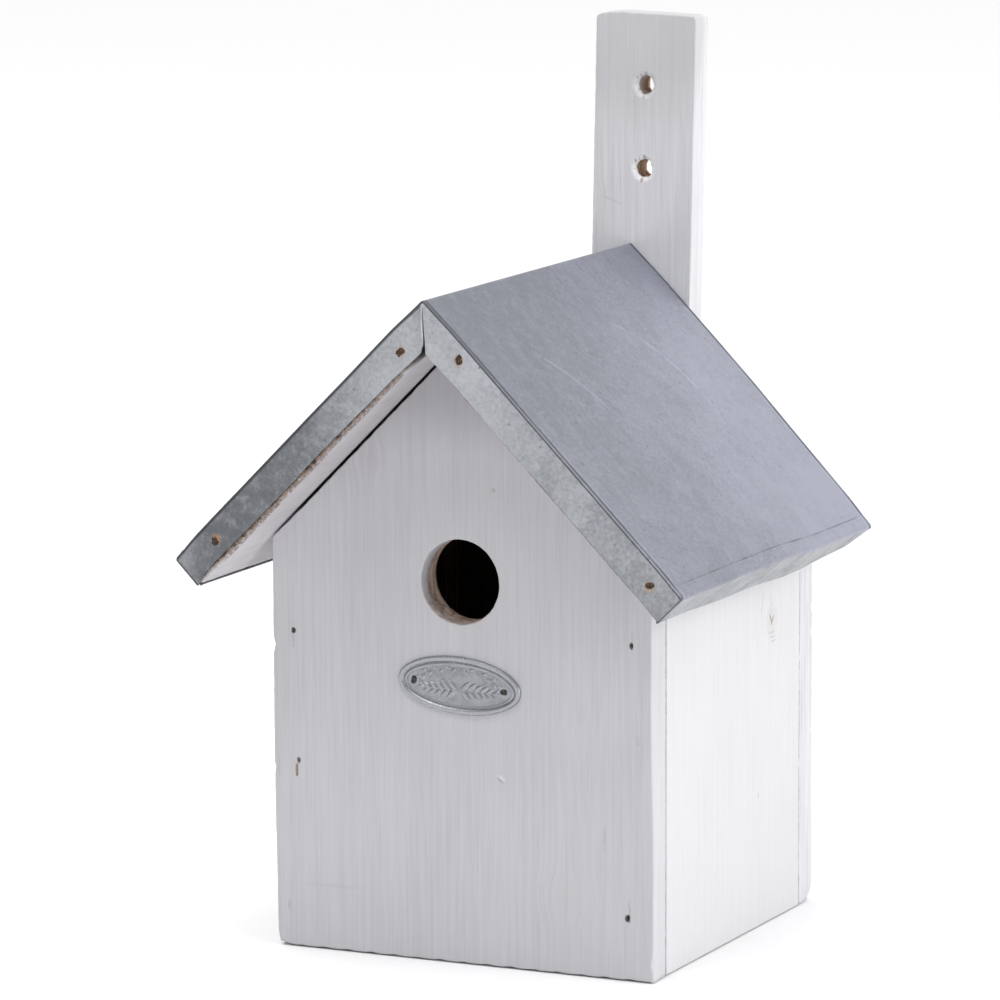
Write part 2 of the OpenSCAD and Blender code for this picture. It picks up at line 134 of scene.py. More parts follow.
class Graph:
    """A node tree being built, with one short method for each kind of step used here."""

    def __init__(self, tree: bpy.types.NodeTree) -> None:
        """Empties the tree.

        Args:
            tree: The node tree of a material or of the world.
        """
        self.tree = tree
        tree.nodes.clear()

    @classmethod
    def of_material(cls, name: str) -> tuple["Graph", Material]:
        """Makes a material with an empty node tree.

        Args:
            name: The material's name.

        Returns:
            The graph and the material.
        """
        material = bpy.data.materials.new(name)
        material.use_nodes = True
        return cls(material.node_tree), material

    def node(
        self, kind: str, inputs: dict[int | str, Value] | None = None, **settings: object
    ) -> bpy.types.Node:
        """Adds a node, sets it and feeds it.

        Args:
            kind: The shader node's type without its ShaderNode.
            inputs: A number, colour or socket for each input, by index or name.
            settings: The node's own properties.

        Returns:
            The new node.
        """
        made = self.tree.nodes.new("ShaderNode" + kind)
        for name, value in settings.items():
            setattr(made, name, value)
        for key, value in (inputs or {}).items():
            if isinstance(value, Socket):
                self.tree.links.new(value, made.inputs[key])
            else:
                made.inputs[key].default_value = value
        return made

    def position(self) -> Socket:
        """The shaded point in the frame, in millimetres."""
        place = self.node("TexCoord").outputs["Object"]
        return self.node("VectorMath", {0: place, 3: 1 / MM}, operation="SCALE").outputs[0]

    def place(
        self, point: Socket, sizes: Triple, turn: Triple = (0, 0, 0), middle: Triple = (0, 0, 0)
    ) -> Socket:
        """Moves a point into a frame of its own, measured in sizes of its own.

        Args:
            point: The point in millimetres.
            sizes: The length along each axis that counts as 1.
            turn: The frame's rotation in radians.
            middle: The frame's origin.

        Returns:
            The point in that frame.
        """
        inputs = {"Vector": point, "Location": middle, "Rotation": turn, "Scale": sizes}
        return self.node("Mapping", inputs, vector_type="TEXTURE").outputs[0]

    def math(self, operation: str, a: Value, b: Value = 0.5, c: Value = 0.5, clamp: bool = False) -> Socket:
        """One step of arithmetic on numbers."""
        return self.node("Math", {0: a, 1: b, 2: c}, operation=operation, use_clamp=clamp).outputs[0]

    def ramp(self, value: Value, low: float, high: float, start: float = 0, end: float = 1) -> Socket:
        """Rises smoothly with a value.

        Args:
            value: The value.
            low: Where the rise starts.
            high: Where it ends, which may be the smaller.
            start: The result up to low.
            end: The result from high on.

        Returns:
            The result.
        """
        a, b, c, d = (low, high, start, end) if low < high else (high, low, end, start)
        inputs = {0: value, 1: a, 2: b, 3: c, 4: d}
        return self.node("MapRange", inputs, interpolation_type="SMOOTHSTEP").outputs[0]

    def noise(self, point: Socket, detail: float = 2, rough: float = 0.5, stir: float = 0) -> Socket:
        """Noise from 0 to 1 with features about one unit across."""
        inputs = {"Vector": point, "Scale": 1.0, "Detail": detail, "Roughness": rough, "Distortion": stir}
        return self.node("TexNoise", inputs).outputs[0]

    def speckle(self, point: Socket, size: float, detail: float = 2, rough: float = 0.5) -> Socket:
        """Noise from 0 to 1 with features of a size in millimetres."""
        return self.noise(self.place(point, (size, size, size)), detail, rough)

    def sway(self, pattern: Socket, strength: float, base: Value) -> Socket:
        """A base value that goes up and down with a pattern from 0 to 1."""
        return self.math("MULTIPLY_ADD", self.math("SUBTRACT", pattern, 0.5), strength, base)

    def times(self, a: Value, b: Value, clamp: bool = False) -> Socket:
        """The product of two numbers."""
        return self.math("MULTIPLY", a, b, clamp=clamp)

    def blend(self, share: Value, a: Value, b: Value) -> Socket:
        """Colour a, or b where the share is 1."""
        first, second = (v if isinstance(v, Socket) else (*v, 1.0) for v in (a, b))
        return self.node("Mix", {0: share, 6: first, 7: second}, data_type="RGBA").outputs[2]

    def spot(
        self, point: Socket, middle: Triple, radii: Triple, turn: Triple = (0, 0, 0), soft: float = 0.5
    ) -> Socket:
        """1 inside an ellipsoid and 0 outside it.

        Args:
            point: The point in millimetres.
            middle: The ellipsoid's middle.
            radii: Its three radii.
            turn: Its rotation in radians.
            soft: The share of the radius over which it fades.

        Returns:
            The share.
        """
        local = self.place(point, radii, turn, middle)
        reach = self.node("VectorMath", {0: local}, operation="LENGTH").outputs[1]
        return self.ramp(reach, 1.0, 1.0 - soft)

    def bump(
        self, height: Socket, distance: float, strength: float = 1.0, under: Socket | None = None
    ) -> Socket:
        """Turns a height from 0 to 1 into a shading normal.

        Args:
            height: The height.
            distance: What a height of 1 measures, in millimetres.
            strength: How strongly it shows.
            under: A normal to build on.

        Returns:
            The normal.
        """
        inputs = {"Height": height, "Distance": distance * MM, "Strength": strength}
        if under is not None:
            inputs["Normal"] = under
        return self.node("Bump", inputs).outputs[0]

    def surface(self, **sockets: Value) -> None:
        """Ends the tree in one Principled shader, its sockets named with _ for a space."""
        names = {name.replace("_", " "): value for name, value in sockets.items()}
        shader = self.node("BsdfPrincipled", names)
        self.node("OutputMaterial", {0: shader.outputs[0]})


@dataclass(frozen=True)
class Knot:
    """A knot under the wash: its middle, its radius and how dark it is."""

    middle: Triple
    radius: float
    depth: float = 0.1


@dataclass(frozen=True)
class Mark:
    """A small stain, scratch or blob on a painted face, or a patch of painted shade."""

    middle: Triple
    radii: Triple
    colour: Colour
    strength: float = 1.0
    turn: Triple = (0, 0, 0)
    height: float = 0.0


@dataclass(frozen=True)
class WashedPine:
    """Thin pale paint brushed on planed pine, with the grain showing through it."""

    name: str
    grain: Grain
    paint: Colour
    thin: Colour
    streaks: float = 1.0
    knots: tuple[Knot, ...] = ()
    marks: tuple[Mark, ...] = ()
    # Laid over paint and raw wood alike: painted shade and shadow, and broad changes of tone.
    stains: tuple[Mark, ...] = ()
    fray: float = 0.12
    bend: float = 0.55
    bend_reach: float = 3.2
    knot_colour: Colour = (0.42, 0.31, 0.24)
    raw_light: Colour = (0.46, 0.34, 0.26)
    raw_dark: Colour = (0.2, 0.135, 0.095)

    def bent(self, g: Graph, point: Socket) -> Socket:
        """The point, pushed so that the grain runs round the knots.

        Args:
            g: The material's graph.
            point: The point in millimetres.

        Returns:
            The pushed point.
        """
        for knot in self.knots:
            reach = self.bend_reach * knot.radius
            share = g.spot(point, knot.middle, (reach, reach, reach), soft=0.9)
            away = g.node("VectorMath", {0: point, 1: knot.middle}, operation="SUBTRACT").outputs[0]
            inputs = {0: away, 3: g.times(share, -self.bend)}
            push = g.node("VectorMath", inputs, operation="SCALE").outputs[0]
            point = g.node("VectorMath", {0: point, 1: push}, operation="ADD").outputs[0]
        return point

    def material(self) -> Material:
        """Builds the material.

        Returns:
            The material, which shows raw wood where the mesh attribute bare is 1.
        """
        g, material = Graph.of_material(self.name)
        point = g.position()
        grain = self.bent(g, point)
        fibre = g.noise(g.place(grain, self.grain.stretch(0.5, 26)), 3, 0.6)
        line = g.noise(g.place(grain, self.grain.stretch(1.5, 75)), 2, 0.5)
        band = g.noise(g.place(grain, self.grain.stretch(7, 150)), 2, 0.5)
        brush = g.noise(g.place(point, self.grain.stretch(2.6, 30)), 3, 0.55)
        patch = g.speckle(point, 42, 2, 0.5)
        fine = g.sway(fibre, 0.9, 0.5)
        tone = g.sway(line, 0.65, fine)
        tone = g.sway(band, 0.18, tone)
        tone = g.sway(brush, 0.28, tone)
        tone = g.sway(patch, 0.5, tone)
        thinness = g.times(g.ramp(tone, 0.75, 0.15), self.streaks, clamp=True)
        colour = g.blend(thinness, self.paint, self.thin)
        pores = g.times(g.ramp(fibre, 0.36, 0.24), 0.5 * self.streaks)
        colour = g.blend(pores, colour, tuple(0.8 * c for c in self.thin))
        height = g.math("MULTIPLY_ADD", line, 0.6, g.times(fibre, 0.5))
        for knot in self.knots:
            r = knot.radius
            core = g.spot(grain, knot.middle, (r, r, r), soft=0.8)
            rings = g.noise(g.place(grain, (r / 3, r / 3, r / 3), middle=knot.middle), 2, 0.6, 0.8)
            share = g.times(core, g.math("MULTIPLY_ADD", rings, 1.2, 0.2), clamp=True)
            colour = g.blend(g.times(share, knot.depth), colour, self.knot_colour)
        for mark in self.marks:
            share = g.spot(point, mark.middle, mark.radii, mark.turn)
            ragged = g.speckle(point, 0.9, 3, 0.6)
            share = g.times(share, g.ramp(ragged, 0.3, 0.55))
            colour = g.blend(g.times(share, mark.strength), colour, mark.colour)
            height = g.math("MULTIPLY_ADD", share, mark.height, height)
        ring = g.noise(g.place(grain, self.grain.stretch(2.2, 90)), 3, 0.6, 0.4)
        raw = g.blend(g.ramp(ring, 0.62, 0.36), self.raw_light, self.raw_dark)
        torn = g.speckle(point, 1.3, 4, 0.65)
        bare = g.node("Attribute", attribute_name="bare").outputs["Fac"]
        bare = g.sway(torn, 1.1, bare)
        bare = g.ramp(bare, 0.5 - self.fray, 0.5 + self.fray)
        colour = g.blend(bare, colour, raw)
        # Painted shade and tone, laid over the raw wood as well.
        for overlay in self.stains:
            share = g.spot(point, overlay.middle, overlay.radii, overlay.turn)
            colour = g.blend(g.times(share, overlay.strength), colour, overlay.colour)
        rough = g.math("MULTIPLY_ADD", bare, 0.22, g.math("MULTIPLY_ADD", fibre, 0.16, 0.5))
        normal = g.bump(height, 0.10, 0.55 + 0.25 * self.streaks)
        normal = g.bump(torn, 0.22, 0.35, normal)
        g.surface(Base_Color=colour, Roughness=rough, Specular_IOR_Level=0.35, Normal=normal)
        return material


@dataclass(frozen=True)
class RawPine:
    """Planed pine without paint, a little grey from handling."""

    name: str
    grain: Grain
    early: Colour = (0.52, 0.385, 0.255)
    late: Colour = (0.34, 0.21, 0.115)
    grubby: Colour = (0.3, 0.27, 0.23)
    ring_count: float = 42.0

    def material(self) -> Material:
        """Builds the material with its growth rings, fibres and grubby patches.

        Returns:
            The material.
        """
        g, material = Graph.of_material(self.name)
        point = g.position()
        ring = g.noise(g.place(point, self.grain.stretch(3.4, 160)), 2, 0.5, 0.7)
        wave = g.math("SINE", g.times(ring, self.ring_count))
        fibre = g.noise(g.place(point, self.grain.stretch(0.4, 18)), 3, 0.6)
        grime = g.speckle(point, 26, 3, 0.6)
        colour = g.blend(g.ramp(wave, -0.4, 0.95), self.early, self.late)
        colour = g.blend(g.times(g.ramp(fibre, 0.55, 0.3), 0.35), colour, self.late)
        colour = g.blend(g.times(g.ramp(grime, 0.5, 0.75), 0.4), colour, self.grubby)
        height = g.math("MULTIPLY_ADD", wave, 0.25, fibre)
        rough = g.math("MULTIPLY_ADD", fibre, 0.2, 0.55)
        g.surface(Base_Color=colour, Roughness=rough, Normal=g.bump(height, 0.12, 0.6))
        return material


@dataclass(frozen=True)
class Scratch:
    """A faint curved scratch on the right slope, through three points (s, y) of its frame."""

    start: tuple[float, float]
    middle: tuple[float, float]
    end: tuple[float, float]
    width: float = 1.2
    strength: float = 0.4

    def circle(self) -> tuple[Vector, float]:
        """Middle and radius of the circle through the three points.

        Returns:
            The middle and the radius.
        """
        a, b, c = (Vector(p) for p in (self.start, self.middle, self.end))
        ba, ca = b - a, c - a
        cross = 2 * (ba.x * ca.y - ba.y * ca.x)
        ux = (ca.y * ba.length_squared - ba.y * ca.length_squared) / cross
        uy = (ba.x * ca.length_squared - ca.x * ba.length_squared) / cross
        return a + Vector((ux, uy)), math.hypot(ux, uy)


@dataclass(frozen=True)
class Zinc:
    """Dull galvanised sheet: mottled, with faint spangle, stains, scratches, rust at nails, painted light
    and shade.
    """

    name: str
    light: Colour
    dark: Colour
    spangle: float
    gloss: float
    peak: float
    scratches: tuple[Scratch, ...] = ()
    rust: tuple[Triple, ...] = ()
    shade_left: float = 0.0
    weathered: float = 0.0
    clouds: float = 0.5
    grit: float = 0.7
    cell: float = 6.5
    cell_bend: float = 7.0
    halo: Triple = (2.3, 2.7, 2.6)
    rust_colour: Colour = (0.5, 0.25, 0.1)
    warm: Triple = (1.03, 0.95, 0.93)
    metallic: float = 0.78

    def scratch_share(self, g: Graph, point: Socket) -> Socket | None:
        """Share of scratched metal at a point, or None where there are no scratches.

        Args:
            g: The material's graph.
            point: The point in millimetres.

        Returns:
            The share from 0 to 1.
        """
        local = g.place(point, (1, 1, 1), (0, PITCH, 0), (0, 0, self.peak))
        total: Socket | None = None
        for scratch in self.scratches:
            middle, radius = scratch.circle()
            flat = g.place(local, (1, 1, 1e4), middle=(middle.x, middle.y, 0))
            reach = g.node("VectorMath", {0: flat}, operation="LENGTH").outputs[1]
            off = g.math("ABSOLUTE", g.math("SUBTRACT", reach, radius))
            line = g.ramp(off, scratch.width, scratch.width * 0.1)
            length = 0.62 * math.dist(scratch.start, scratch.end)
            within = g.spot(local, (*scratch.middle, 0), (length, length, 60), soft=0.35)
            worn = g.ramp(g.speckle(point, 7, 4, 0.7), 0.38, 0.56)
            strength = g.times(worn, scratch.strength)
            share = g.times(g.times(line, within), strength)
            total = share if total is None else g.math("ADD", total, share, clamp=True)
        return total

    def material(self) -> Material:
        """Builds the material.

        Returns:
            The material, painted shade where its mesh attribute is below 0 and a painted highlight above.
        """
        g, material = Graph.of_material(self.name)
        point = g.position()
        inputs = {"Vector": g.place(point, (6, 6, 6)), "Scale": 1.0, "Detail": 3}
        wobble = g.node("TexNoise", inputs).outputs[1]
        push = g.node("VectorMath", {0: wobble, 3: self.cell_bend}, operation="SCALE").outputs[0]
        bent = g.node("VectorMath", {0: point, 1: push}, operation="ADD").outputs[0]
        inputs = {"Vector": g.place(bent, (self.cell,) * 3), "Scale": 1.0}
        cells = g.node("TexVoronoi", inputs).outputs["Color"]
        cell = g.node("SeparateColor", {0: cells}).outputs[0]
        speck = g.speckle(point, 1.3, 4, 0.7)
        cloud = g.noise(g.place(point, (30, 22, 30)), 4, 0.6, 0.5)
        smear = g.noise(g.place(point, (70, 12, 12), (0, PITCH, 0)), 3, 0.6)
        tone = g.sway(cell, self.spangle, 0.5)
        tone = g.sway(speck, self.grit, tone)
        tone = g.sway(cloud, self.clouds, tone)
        tone = g.sway(smear, 0.1, tone)
        axes = g.node("SeparateXYZ", {0: point}).outputs
        # Painted light and shade on the flanges: the left ones darker towards the eave and lighter at its
        # very end, the right ones lighter near the ridge and darker towards the eave and the rear.
        if self.shade_left:
            left = g.math("SUBTRACT", g.ramp(axes[0], -2.0, -66.0), g.ramp(axes[0], -80.0, -88.0, 0, 0.5))
            right = g.ramp(axes[0], 5.0, 85.0, -0.11, 0.08)
            right = g.math("ADD", right, g.ramp(axes[1], -60.0, 30.0, 0, 0.1))
            tone = g.math("SUBTRACT", g.math("MULTIPLY_ADD", left, -self.shade_left, tone), right)
        # The top grows lighter towards the right eave and the rear.
        if self.weathered:
            fall = g.math("ADD", g.ramp(axes[0], 0.0, 88.0, 0, 0.6), g.ramp(axes[1], -70.0, 75.0))
            tone = g.math("MULTIPLY_ADD", g.math("SUBTRACT", fall, 0.8), self.weathered, tone)
        colour = g.blend(g.ramp(tone, 0.0, 1.0), self.dark, self.light)
        hue = g.speckle(point, 4, 4, 0.75)
        warm = tuple(c * k for c, k in zip(self.light, self.warm))
        colour = g.blend(g.ramp(hue, 0.45, 0.75, 0, 0.35), colour, warm)
        pits = g.speckle(point, 1.3, 1, 0.4)
        pitted = g.times(g.ramp(pits, 0.25, 0.18), 0.7)
        colour = g.blend(pitted, colour, tuple(0.45 * c for c in self.dark))
        # Painted light from the mesh: below 0, shade in the creases, grooves and under edges; above 0, a
        # highlight on the folds.
        seam = g.node("Attribute", attribute_name="seam").outputs["Fac"]
        painted_shade = g.times(seam, -1.0)
        colour = g.blend(g.ramp(painted_shade, 0.1, 0.9, 0, 0.8), colour, tuple(0.3 * c for c in self.dark))
        colour = g.blend(g.ramp(seam, 0.1, 0.9, 0, 0.8), colour, GLINT)
        rough = g.math("MULTIPLY_ADD", g.math("SUBTRACT", speck, cell), 0.12, self.gloss)
        scratched = self.scratch_share(g, point)
        if scratched is not None:
            colour = g.blend(scratched, colour, tuple(min(1, 1.35 * c) for c in self.light))
        for spot in self.rust:
            ragged = g.speckle(point, 1.1, 3, 0.6)
            above = 0.5 if spot[0] < 0 else -0.4
            middle = (spot[0] + 0.8 * above, spot[1], spot[2] + above)
            halo = g.spot(point, middle, self.halo, soft=0.7)
            overlay = g.times(halo, g.ramp(ragged, 0.25, 0.6))
            colour = g.blend(g.times(overlay, 0.75), colour, self.rust_colour)
        height = g.math("MULTIPLY_ADD", speck, 0.35, g.times(cloud, 1.4))
        normal = g.bump(height, 0.12, 0.4)
        g.surface(Base_Color=colour, Metallic=self.metallic, Roughness=rough, Normal=normal)
        return material


@dataclass(frozen=True)
class PressedZinc:
    """The oval plate's bright pressed metal, dark where dirt lies in its hollows."""

    name: str
    light: Colour = (0.36, 0.37, 0.395)
    dark: Colour = (0.1, 0.105, 0.115)

    def material(self) -> Material:
        """Builds the material, dark where the mesh attribute hollow is 1.

        Returns:
            The material.
        """
        g, material = Graph.of_material(self.name)
        point = g.position()
        grit = g.speckle(point, 0.5, 4, 0.7)
        cloud = g.speckle(point, 3.5, 3, 0.6)
        hollow = g.node("Attribute", attribute_name="hollow").outputs["Fac"]
        dirt = g.sway(grit, 1.1, hollow)
        dirt = g.sway(cloud, 0.7, dirt)
        colour = g.blend(g.ramp(dirt, 0.05, 1.0), self.light, self.dark)
        rough = g.math("MULTIPLY_ADD", dirt, 0.3, 0.3)
        g.surface(Base_Color=colour, Metallic=0.85, Roughness=rough, Normal=g.bump(grit, 0.09, 0.6))
        return material


@dataclass(frozen=True)
class WeatheredIron:
    """Steel of nails, staples and screws, from bright to rusted through."""

    name: str
    steel: Colour
    rust: Colour
    rusted: float
    metallic: float = 0.5

    def material(self) -> Material:
        """Builds the material.

        Returns:
            The material.
        """
        g, material = Graph.of_material(self.name)
        point = g.position()
        scale = g.speckle(point, 0.9, 4, 0.7)
        pit = g.speckle(point, 0.6, 2, 0.5)
        share = g.ramp(g.math("ADD", scale, self.rusted - 0.5), 0.35, 0.6)
        colour = g.blend(share, self.steel, self.rust)
        colour = g.blend(g.ramp(pit, 0.52, 0.36), colour, tuple(0.35 * c for c in self.rust))
        rough = g.math("MULTIPLY_ADD", share, 0.35, 0.4)
        height = g.math("MULTIPLY_ADD", pit, 0.5, scale)
        g.surface(
            Base_Color=colour, Metallic=self.metallic, Roughness=rough, Normal=g.bump(height, 0.2, 0.8)
        )
        return material


def show(name: str, bm: Mesh, nodes: Sequence[str], materials: Sequence[Material]) -> Piece:
    """Turns a finished bmesh, in millimetres, into a piece of the object.

    Args:
        name: The piece's name.
        bm: Its mesh, which is freed.
        nodes: The CAD nodes that it stands for.
        materials: Its materials, in the order of its faces' material indices.

    Returns:
        The piece, riding on the box's body.
    """
    bmesh.ops.scale(bm, vec=(MM, MM, MM), verts=bm.verts)
    mesh = bpy.data.meshes.new(name)
    bm.to_mesh(mesh)
    bm.free()
    for material in materials:
        mesh.materials.append(material)
    piece = bpy.data.objects.new(name, mesh)
    bpy.context.scene.collection.objects.link(piece)
    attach(piece, BODY)
    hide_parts(*nodes)
    log.info("%s: %d faces", name, len(mesh.polygons))
    return piece


def dress(node: str, material: Material) -> None:
    """Gives a CAD node a material and reports it.

    Args:
        node: The CAD node.
        material: Its finish.
    """
    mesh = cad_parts[node].data
    mesh.materials.clear()
    mesh.materials.append(material)
    log.info("%s: the packed shape, dressed", node)


def dense(corners: Sequence[tuple[float, float]], step: float) -> list[Vector]:
    """Points along a closed outline, about a step apart, its corners among them.

    Args:
        corners: The outline's corners in order.
        step: The spacing.

    Returns:
        The points in order.
    """
    points = []
    for a, b in zip(corners, [*corners[1:], corners[0]]):
        start, run = Vector(a), Vector(b) - Vector(a)
        count = max(1, round(run.length / step))
        points += [start + run * (i / count) for i in range(count)]
    return points


def ring(middle: tuple[float, float], radii: tuple[float, float], count: int) -> list[Vector]:
    """Points clockwise round an ellipse, as a hole's outline runs."""
    turns = [-math.tau * i / count for i in range(count)]
    return [Vector((middle[0] + radii[0] * math.cos(t), middle[1] + radii[1] * math.sin(t))) for t in turns]


def inward(loop: Sequence[Vector]) -> list[Vector]:
    """For each point of a closed loop, the mitred step of one millimetre to its left.

    Args:
        loop: The loop's points in order.

    Returns:
        The steps in the same order.
    """
    steps = []
    for i, point in enumerate(loop):
        before = (point - loop[i - 1]).normalized()
        after = (loop[(i + 1) % len(loop)] - point).normalized()
        first, second = Vector((-before.y, before.x)), Vector((-after.y, after.x))
        steps.append((first + second) / max(0.3, 1 + first.dot(second)))
    return steps


def painted(_point: Vector, _depth: float) -> float:
    """Paint over the whole edge."""
    return 0.0


@dataclass
class Edge:
    """One closed edge of a board: its outline, or the wall of a hole or slot.

    The loop runs with the wood on its left. The depth is None where the edge goes right
    through. The bare function says how much raw wood shows at a point and depth.
    """

    loop: list[Vector]
    depth: float | None = None
    arris: float = 0.5
    back_arris: float = 0.5
    wobble: float = 0.1
    saw: float = 0.05
    bare: Callable[[Vector, float], float] = painted

    def rows(self, thickness: float) -> list[tuple[float, float, float]]:
        """The edge's section from the face down, as (inset, depth, roughness) rows.

        Args:
            thickness: The board's thickness.

        Returns:
            The rows from the face down.
        """
        full = thickness if self.depth is None else self.depth
        rows = []
        for angle in (0, 30, 60, 90):
            a = math.radians(angle)
            rows.append((self.arris * (1 - math.sin(a)), self.arris * (1 - math.cos(a)), self.wobble))
        end = full - self.back_arris if self.depth is None else full
        count = max(1, round((end - self.arris) / 1.6))
        for i in range(1, count):
            rows.append((0.0, self.arris + (end - self.arris) * i / count, self.saw))
        if self.depth is None:
            for angle in (90, 60, 30, 0):
                a = math.radians(angle)
                depth = full - self.back_arris * (1 - math.cos(a))
                rows.append((self.back_arris * (1 - math.sin(a)), depth, self.wobble))
        else:
            rows.append((0.0, full, self.saw))
        return rows


@dataclass(frozen=True)
class Chip:
    """Wood broken out of an edge round a point (u, v, w) of the board."""

    middle: Triple
    radius: float
    depth: float


@dataclass
class Board:
    """A sawn board with worn edges, holes, slots and chips.

    Its outline lies in its own u and v, and w runs from its face to its back.
    """

    name: str
    slot: str
    node: str
    place: Placing
    thickness: float
    outline: Edge
    openings: list[Edge] = field(default_factory=list)
    chips: tuple[Chip, ...] = ()
    cuts: tuple[tuple[int, float], ...] = ()
    seed: float = 1.0
    back_bare: float = 1.0

    def inset(self, at: Vector, roughness: float) -> float:
        """How far the edge lies inside its true line at a point.

        Args:
            at: The point in the board's own axes.
            roughness: How rough the edge is there.

        Returns:
            The distance.
        """
        rough = roughness * (0.5 + 0.5 * ripple(at, 2.3, self.seed) + 0.5 * ripple(at, 0.9, -self.seed))
        long_wave = 0.6 * roughness * (1 + ripple(at, 21.0, self.seed + 5))
        broken = sum(
            chip.depth * math.exp(-(((at - Vector(chip.middle)).length / chip.radius) ** 2))
            for chip in self.chips
        )
        return max(0.0, rough + long_wave) + broken

    def wall(self, bm: Mesh, edge: Edge) -> list[list[Vert]]:
        """Adds the faces of one edge and returns its rings of vertices, face first.

        Args:
            bm: The mesh.
            edge: The edge.

        Returns:
            The rings.
        """
        bare = bm.verts.layers.float["bare"]
        steps = inward(edge.loop)
        rings = []
        rows = edge.rows(self.thickness)
        for number, (inset, depth, roughness) in enumerate(rows):
            verts = []
            for point, step in zip(edge.loop, steps):
                moved = point + step * (inset + self.inset(Vector((*point, depth)), roughness))
                vert = bm.verts.new((moved.x, moved.y, depth))
                vert[bare] = edge.bare(point, depth) if number else 0.0
                verts.append(vert)
            rings.append(verts)
        if edge.depth is None:
            for vert in rings[-1]:
                vert[bare] = self.back_bare
        for upper, lower in zip(rings, rings[1:]):
            for i in range(len(upper)):
                j = (i + 1) % len(upper)
                bm.faces.new((upper[i], upper[j], lower[j], lower[i])).smooth = True
        return rings

    def build(self, material: Material) -> None:
        """Builds the board.

        Args:
            material: The board's finish.
        """
        bm = bmesh.new()
        bm.verts.layers.float.new("bare")
        face_edges, back_edges, floors = [], [], []
        for edge in [self.outline, *self.openings]:
            rings = self.wall(bm, edge)
            face_edges += self.round_edges(bm, rings[0])
            end_edges = self.round_edges(bm, rings[-1])
            if edge.depth is None:
                back_edges += end_edges
            else:
                floors.append(end_edges)
        for edges in [face_edges, back_edges, *floors]:
            made = bmesh.ops.triangle_fill(bm, use_beauty=True, edges=edges)["geom"]
            for item in made:
                if isinstance(item, bmesh.types.BMFace):
                    item.smooth = False
        for axis, value in self.cuts:
            normal = Vector([float(i == axis) for i in range(3)])
            geometry = [*bm.verts, *bm.edges, *bm.faces]
            bmesh.ops.bisect_plane(bm, geom=geometry, plane_co=normal * value, plane_no=normal)
        bmesh.ops.recalc_face_normals(bm, faces=bm.faces)
        for vert in bm.verts:
            vert.co = self.place(*vert.co)
        if self.is_mirrored():
            bmesh.ops.reverse_faces(bm, faces=bm.faces)
        show(self.name, bm, [self.node], [material])

    def is_mirrored(self) -> bool:
        """True where the board's own axes make a left-handed frame, so that its faces have to turn."""
        u, v, w = (self.place(*axis) - self.place(0, 0, 0) for axis in ((1, 0, 0), (0, 1, 0), (0, 0, 1)))
        return u.cross(v).dot(w) < 0

    @staticmethod
    def round_edges(bm: Mesh, verts: list[Vert]) -> list[bmesh.types.BMEdge]:
        """The edges of a closed ring of vertices."""
        return [bm.edges.get((verts[i - 1], verts[i])) for i in range(len(verts))]


@dataclass(frozen=True)
class BoxSizes:
    """Sizes of the walls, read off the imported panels, in millimetres."""

    half_w: float
    front_y: float
    back_y: float
    gable_top: float
    wall_t: float

    @classmethod
    def read(cls) -> "BoxSizes":
        """Reads the sizes off the frame."""
        front, back = span("front_panel"), span("back_panel")
        return cls(front[1].x, front[0].y, back[1].y, front[1].z, front[1].y - front[0].y)

    @property
    def eave_z(self) -> float:
        """Height of the walls where the roof boards cross their outer faces."""
        return self.gable_top - self.half_w * TAN

    def gable(self, foot: float = 0.0) -> list[tuple[float, float]]:
        """Corners of a gabled panel, counterclockwise in x and z."""
        w, z, top = self.half_w, self.eave_z, self.gable_top
        return [(-w, foot), (w, foot), (w, z), (0, top), (-w, z)]


@dataclass(frozen=True)
class Slot:
    """The slot that a staple's crown has sunk into, as far as the paint leaves it open.

    The shift moves it along the crown and aside moves it across, and raw is how much bare
    wood shows in it.
    """

    length: float = 6.6
    width: float = 0.85
    depth: float = 1.2
    raw: float = 0.4
    lean: float = 0.0
    shift: float = 0.0
    aside: float = 0.0

    def edge(self, x: float, z: float, lying: bool = False) -> Edge:
        """The slot's edge round the crown's middle.

        Args:
            x: The crown's place across the board.
            z: The crown's place up the board.
            lying: True where the crown lies level.

        Returns:
            The edge, with narrow ragged ends.
        """
        loop = []
        for point in ring((0, 0), (1.0, 1.0), 26):
            across = self.width / 2 * math.copysign(abs(point.x) ** 0.6, point.x)
            along = self.length / 2 * point.y
            across += self.lean * along + 0.1 * self.width * ripple(Vector((x, z, along)), 0.9, 3.0)
            along += self.shift
            across += self.aside
            loop.append(Vector((x - along, z + across)) if lying else Vector((x + across, z + along)))
        small = min(0.14, 0.4 * self.depth)
        return Edge(loop, self.depth, arris=small, wobble=0.05, saw=0.03, bare=self.bare)

    def bare(self, _point: Vector, depth: float) -> float:
        """Raw wood below the paint."""
        return self.raw * (0.6 + 0.7 * min(1.0, depth))


# What shows of each front staple, as one or two slots, from the lowest up.
FRONT_SLOTS: dict[Side, tuple[tuple[Slot, ...], ...]] = {
    Side.LEFT: (
        (Slot(2.8, 0.8, 0.3, 0.1, aside=-1.3),),
        (
            Slot(2.1, 0.85, 0.9, 0.2, shift=2.0, aside=2.4),
            Slot(4.2, 0.8, 0.6, 0.9, shift=-1.4, aside=1.9),
        ),
        (
            Slot(2.1, 0.95, 0.9, 0.2, shift=2.3, aside=1.0),
            Slot(4.2, 0.5, 0.25, 0.0, shift=-1.2, aside=1.1),
        ),
    ),
    Side.RIGHT: (
        (
            Slot(2.6, 1.1, 1.0, 0.2, shift=-2.0, aside=-2.9),
            Slot(4.0, 0.5, 0.25, 0.0, lean=-0.07, shift=1.6, aside=-2.6),
        ),
        (Slot(3.0, 1.3, 0.15, 0.0, aside=0.6),),
        (
            Slot(2.2, 1.0, 1.2, 0.2, shift=-2.6, aside=-1.4),
            Slot(3.0, 0.6, 0.12, 0.0, shift=0.4, aside=-1.0),
        ),
    ),
}


